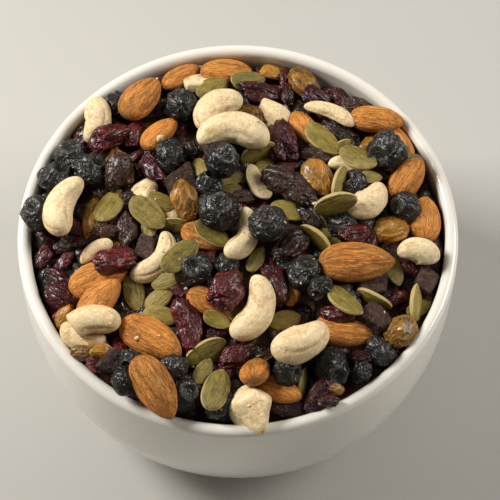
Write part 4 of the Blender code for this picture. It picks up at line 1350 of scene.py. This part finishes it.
class TRAILMIX_OT_bowl(bpy.types.Operator):
    """Turn the glazed bowl"""

    bl_idname = "trailmix.bowl"
    bl_label = "Bowl"

    def execute(self, context):
        settings = context.scene.trail_mix_bowl
        points, quads, caps = turned_arrays(bowl_profile(), settings.sides)
        shade = glaze_material(settings, "white_glaze")
        bowl = new_piece("glazed_bowl", points, quads, caps, {}, shade, "white_glaze")
        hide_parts("bowl")
        return {"FINISHED"}


class TRAILMIX_OT_core(bpy.types.Operator):
    """Fill the bowl up to the hollows between the pieces"""

    bl_idname = "trailmix.core"
    bl_label = "Core"

    def execute(self, context):
        heap = arranged()[2]
        lowest = heap.lowest_around(CORE_REACH) - CORE_UNDER
        wall = inside_profile(2 * GAP)
        wall = wall[wall[:, 1] < RIM_HEIGHT - CORE_WALL_FROM][::-1]
        out = np.linspace(0, RIM_RADIUS - WALL - 2 * GAP, CORE_RINGS)
        profile = np.concatenate([stacked(out, RIM_HEIGHT), wall])
        points, quads, caps = turned_arrays(profile, CORE_SIDES)
        rows = len(points) - 1 - (len(wall) - 1) * CORE_SIDES
        cells = np.round((points[:rows, :2] - heap.low) / CELL).astype(int)
        points[:rows, 2] = lowest[cells[:, 0], cells[:, 1]]
        shade = core_material(context.scene.trail_mix_pieces, "packed_fruit")
        core = new_piece("packed_core", points, quads, caps, {}, shade, "packed_fruit")
        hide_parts("trail_mix")
        return {"FINISHED"}


def build(context, name):
    """One object for all the pieces of its kinds, those that show and the fillers."""
    kinds, material, slot = PIECES[name]
    chosen = [[piece for piece in group if piece.kind in kinds] for group in arranged()[:2]]
    if not chosen[0]:
        raise RuntimeError(f"no pieces of {kinds} in the heap")
    shade = material(context.scene.trail_mix_pieces, slot)
    piece = new_piece(name, *joined(*chosen), shade, slot)
    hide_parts("trail_mix")
    return {"FINISHED"}


def topmost(points):
    """Of these points, the ones that nothing lies above: the highest in their cell of a grid."""
    cells = np.floor((points[:, :2] + 2 * RIM_RADIUS) / CELL).astype(int)
    cells = cells[:, 0] * int(4 * RIM_RADIUS / CELL) + cells[:, 1]
    highest = np.full(cells.max() + 1, -np.inf)
    np.maximum.at(highest, cells, points[:, 2])
    return points[points[:, 2] >= highest[cells]]


def crumb_places(draw):
    """Where crumbs lie, on the pieces built so far: the large one at its pixel, then the rest."""
    found = []
    for name in PIECES:
        if name in bpy.data.objects:
            mesh = bpy.data.objects[name].data
            points = np.empty(3 * len(mesh.vertices), np.float32)
            mesh.vertices.foreach_get("co", points)
            found.append(points.reshape(-1, 3))
    if not found:
        raise RuntimeError("no pieces for crumbs to lie on")
    top = topmost(np.concatenate(found).astype(float))
    near = np.linalg.norm(seen_at(top) - LARGE_CRUMB_AT, axis=1).argmin()
    return np.concatenate([top[[near]], top[draw.choice(len(top), CRUMBS, replace=False)]])


class TRAILMIX_OT_almonds(bpy.types.Operator):
    """Shape the almonds"""

    bl_idname = "trailmix.almonds"
    bl_label = "Almonds"

    def execute(self, context):
        return build(context, "almonds")


class TRAILMIX_OT_cashews(bpy.types.Operator):
    """Shape the cashews, their halves and their broken bits"""

    bl_idname = "trailmix.cashews"
    bl_label = "Cashews"

    def execute(self, context):
        return build(context, "cashews")


class TRAILMIX_OT_pumpkin_seeds(bpy.types.Operator):
    """Shape the pumpkin seeds"""

    bl_idname = "trailmix.pumpkin_seeds"
    bl_label = "Pumpkin Seeds"

    def execute(self, context):
        return build(context, "pumpkin_seeds")


class TRAILMIX_OT_dark_berries(bpy.types.Operator):
    """Shape the dried dark berries with their crowns"""

    bl_idname = "trailmix.dark_berries"
    bl_label = "Dark Berries"

    def execute(self, context):
        return build(context, "dark_berries")


class TRAILMIX_OT_cranberries(bpy.types.Operator):
    """Shape the dried cranberries"""

    bl_idname = "trailmix.cranberries"
    bl_label = "Cranberries"

    def execute(self, context):
        return build(context, "cranberries")


class TRAILMIX_OT_raisins(bpy.types.Operator):
    """Shape the brown raisins"""

    bl_idname = "trailmix.raisins"
    bl_label = "Raisins"

    def execute(self, context):
        return build(context, "raisins")


class TRAILMIX_OT_golden_raisins(bpy.types.Operator):
    """Shape the golden raisins"""

    bl_idname = "trailmix.golden_raisins"
    bl_label = "Golden Raisins"

    def execute(self, context):
        return build(context, "golden_raisins")


class TRAILMIX_OT_chocolate(bpy.types.Operator):
    """Shape the broken pieces of chocolate"""

    bl_idname = "trailmix.chocolate"
    bl_label = "Chocolate"

    def execute(self, context):
        return build(context, "chocolate_chunks")


class TRAILMIX_OT_crumbs(bpy.types.Operator):
    """Scatter nut crumbs on the pieces that are there"""

    bl_idname = "trailmix.crumbs"
    bl_label = "Crumbs"

    def execute(self, context):
        draw = np.random.default_rng(CRUMB_SEED)
        places = crumb_places(draw)
        lengths = LEAST_CRUMB + draw.exponential(MORE_CRUMB, len(places))
        lengths = MM * np.clip(lengths, 0, MOST_CRUMB)
        lengths[0] = LARGE_CRUMB
        crumbs = []
        for i, (place, length) in enumerate(zip(places, lengths)):
            turn, lift, roll = draw.uniform(0, 360, 3)
            place = place + np.array([0, 0, 0.2 * length])
            width, thickness = length * draw.uniform(0.55, 0.85, 2)
            rotation = turned(turn, lift, roll)
            seed = CRUMB_SEEDS + i
            crumbs.append(Placed("crumb", length, width, thickness, place, rotation, seed))
        shade = bpy.data.materials.get("cashew")
        shade = shade or cashew_material(context.scene.trail_mix_pieces, "cashew")
        piece = new_piece("crumbs", *joined(crumbs, []), shade, "cashew")
        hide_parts("trail_mix")
        return {"FINISHED"}


def soft_light(name, power, size, place, aim):
    """A square area light at a place, turned to an aim."""
    lamp = bpy.data.lights.new(name, "AREA")
    lamp.energy = power
    lamp.size = size
    lamp.color = LAMP_COLOUR
    made = bpy.data.objects.new(name, lamp)
    made.location = place
    made.rotation_euler = (Vector(place) - Vector(aim)).to_track_quat("Z", "Y").to_euler()
    bpy.context.scene.collection.objects.link(made)


class TRAILMIX_OT_stage(bpy.types.Operator):
    """Set up the floor, the lights and the camera"""

    bl_idname = "trailmix.stage"
    bl_label = "Stage"

    def execute(self, context):
        settings = context.scene.trail_mix_stage
        shade = Shader("floor", roughness=0.6)
        shade.feed(base_color=tuple(settings.floor))
        corners = [(x * STAGE_REACH, y * STAGE_REACH, 0) for x, y in FLOOR_CORNERS]
        mesh = bpy.data.meshes.new("floor")
        mesh.from_pydata(corners, [], [(0, 1, 2, 3)])
        mesh.materials.append(shade.material)
        floor = bpy.data.objects.new("floor", mesh)
        context.scene.collection.objects.link(floor)

        world = bpy.data.worlds.new("surroundings")
        world.use_nodes = True
        background = world.node_tree.nodes["Background"]
        background.inputs["Color"].default_value = (*SKY_COLOUR, 1)
        background.inputs["Strength"].default_value = settings.sky
        context.scene.world = world
        aim = (0, 0, RIM_HEIGHT)
        soft_light("key", settings.key_power, KEY_SIZE, KEY_PLACE, aim)
        soft_light("side", settings.key_power * SIDE_SHARE, SIDE_SIZE, SIDE_PLACE, aim)
        context.scene.view_settings.view_transform = "Standard"

        back = Vector(VIEW_BACK)
        lens = bpy.data.cameras.new("camera")
        lens.sensor_width = SENSOR_WIDTH
        lens.lens = PHOTO_FOCAL / (2 * PHOTO_MIDDLE) * lens.sensor_width
        camera = bpy.data.objects.new("camera", lens)
        camera.location = Vector(VIEW_AIM) + back * settings.camera_distance
        camera.rotation_euler = back.to_track_quat("Z", "Y").to_euler()
        context.scene.collection.objects.link(camera)
        context.scene.camera = camera
        return {"FINISHED"}


class TRAILMIX_PT_panel(bpy.types.Panel):
    """The settings and the steps that build the bowl of trail mix"""

    bl_idname = "TRAILMIX_PT_panel"
    bl_label = "Trail Mix"
    bl_space_type = "VIEW_3D"
    bl_region_type = "UI"
    bl_category = "Trail Mix"

    def draw(self, context):
        for name in SETTINGS:
            settings = getattr(context.scene, name)
            box = self.layout.box()
            for prop in settings.bl_rna.properties:
                if not prop.is_readonly and prop.identifier != "name":
                    box.prop(settings, prop.identifier)
        for operator in OPERATORS:
            self.layout.operator(operator.bl_idname)


SETTINGS = {
    "trail_mix_bowl": BowlSettings,
    "trail_mix_pieces": MixSettings,
    "trail_mix_stage": StageSettings,
}
OPERATORS = (
    TRAILMIX_OT_bowl,
    TRAILMIX_OT_core,
    TRAILMIX_OT_almonds,
    TRAILMIX_OT_cashews,
    TRAILMIX_OT_pumpkin_seeds,
    TRAILMIX_OT_dark_berries,
    TRAILMIX_OT_cranberries,
    TRAILMIX_OT_raisins,
    TRAILMIX_OT_golden_raisins,
    TRAILMIX_OT_chocolate,
    TRAILMIX_OT_crumbs,
    TRAILMIX_OT_stage,
)
CLASSES = (*SETTINGS.values(), *OPERATORS, TRAILMIX_PT_panel)


def register():
    for cls in CLASSES:
        bpy.utils.register_class(cls)
    for name, cls in SETTINGS.items():
        setattr(bpy.types.Scene, name, bpy.props.PointerProperty(type=cls))


def unregister():
    for name in SETTINGS:
        delattr(bpy.types.Scene, name)
    for cls in CLASSES:
        bpy.utils.unregister_class(cls)


def main():
    register()
    for operator in OPERATORS:
        getattr(bpy.ops.trailmix, operator.bl_idname.split(".")[1])()


if __name__ == "__main__":
    main()
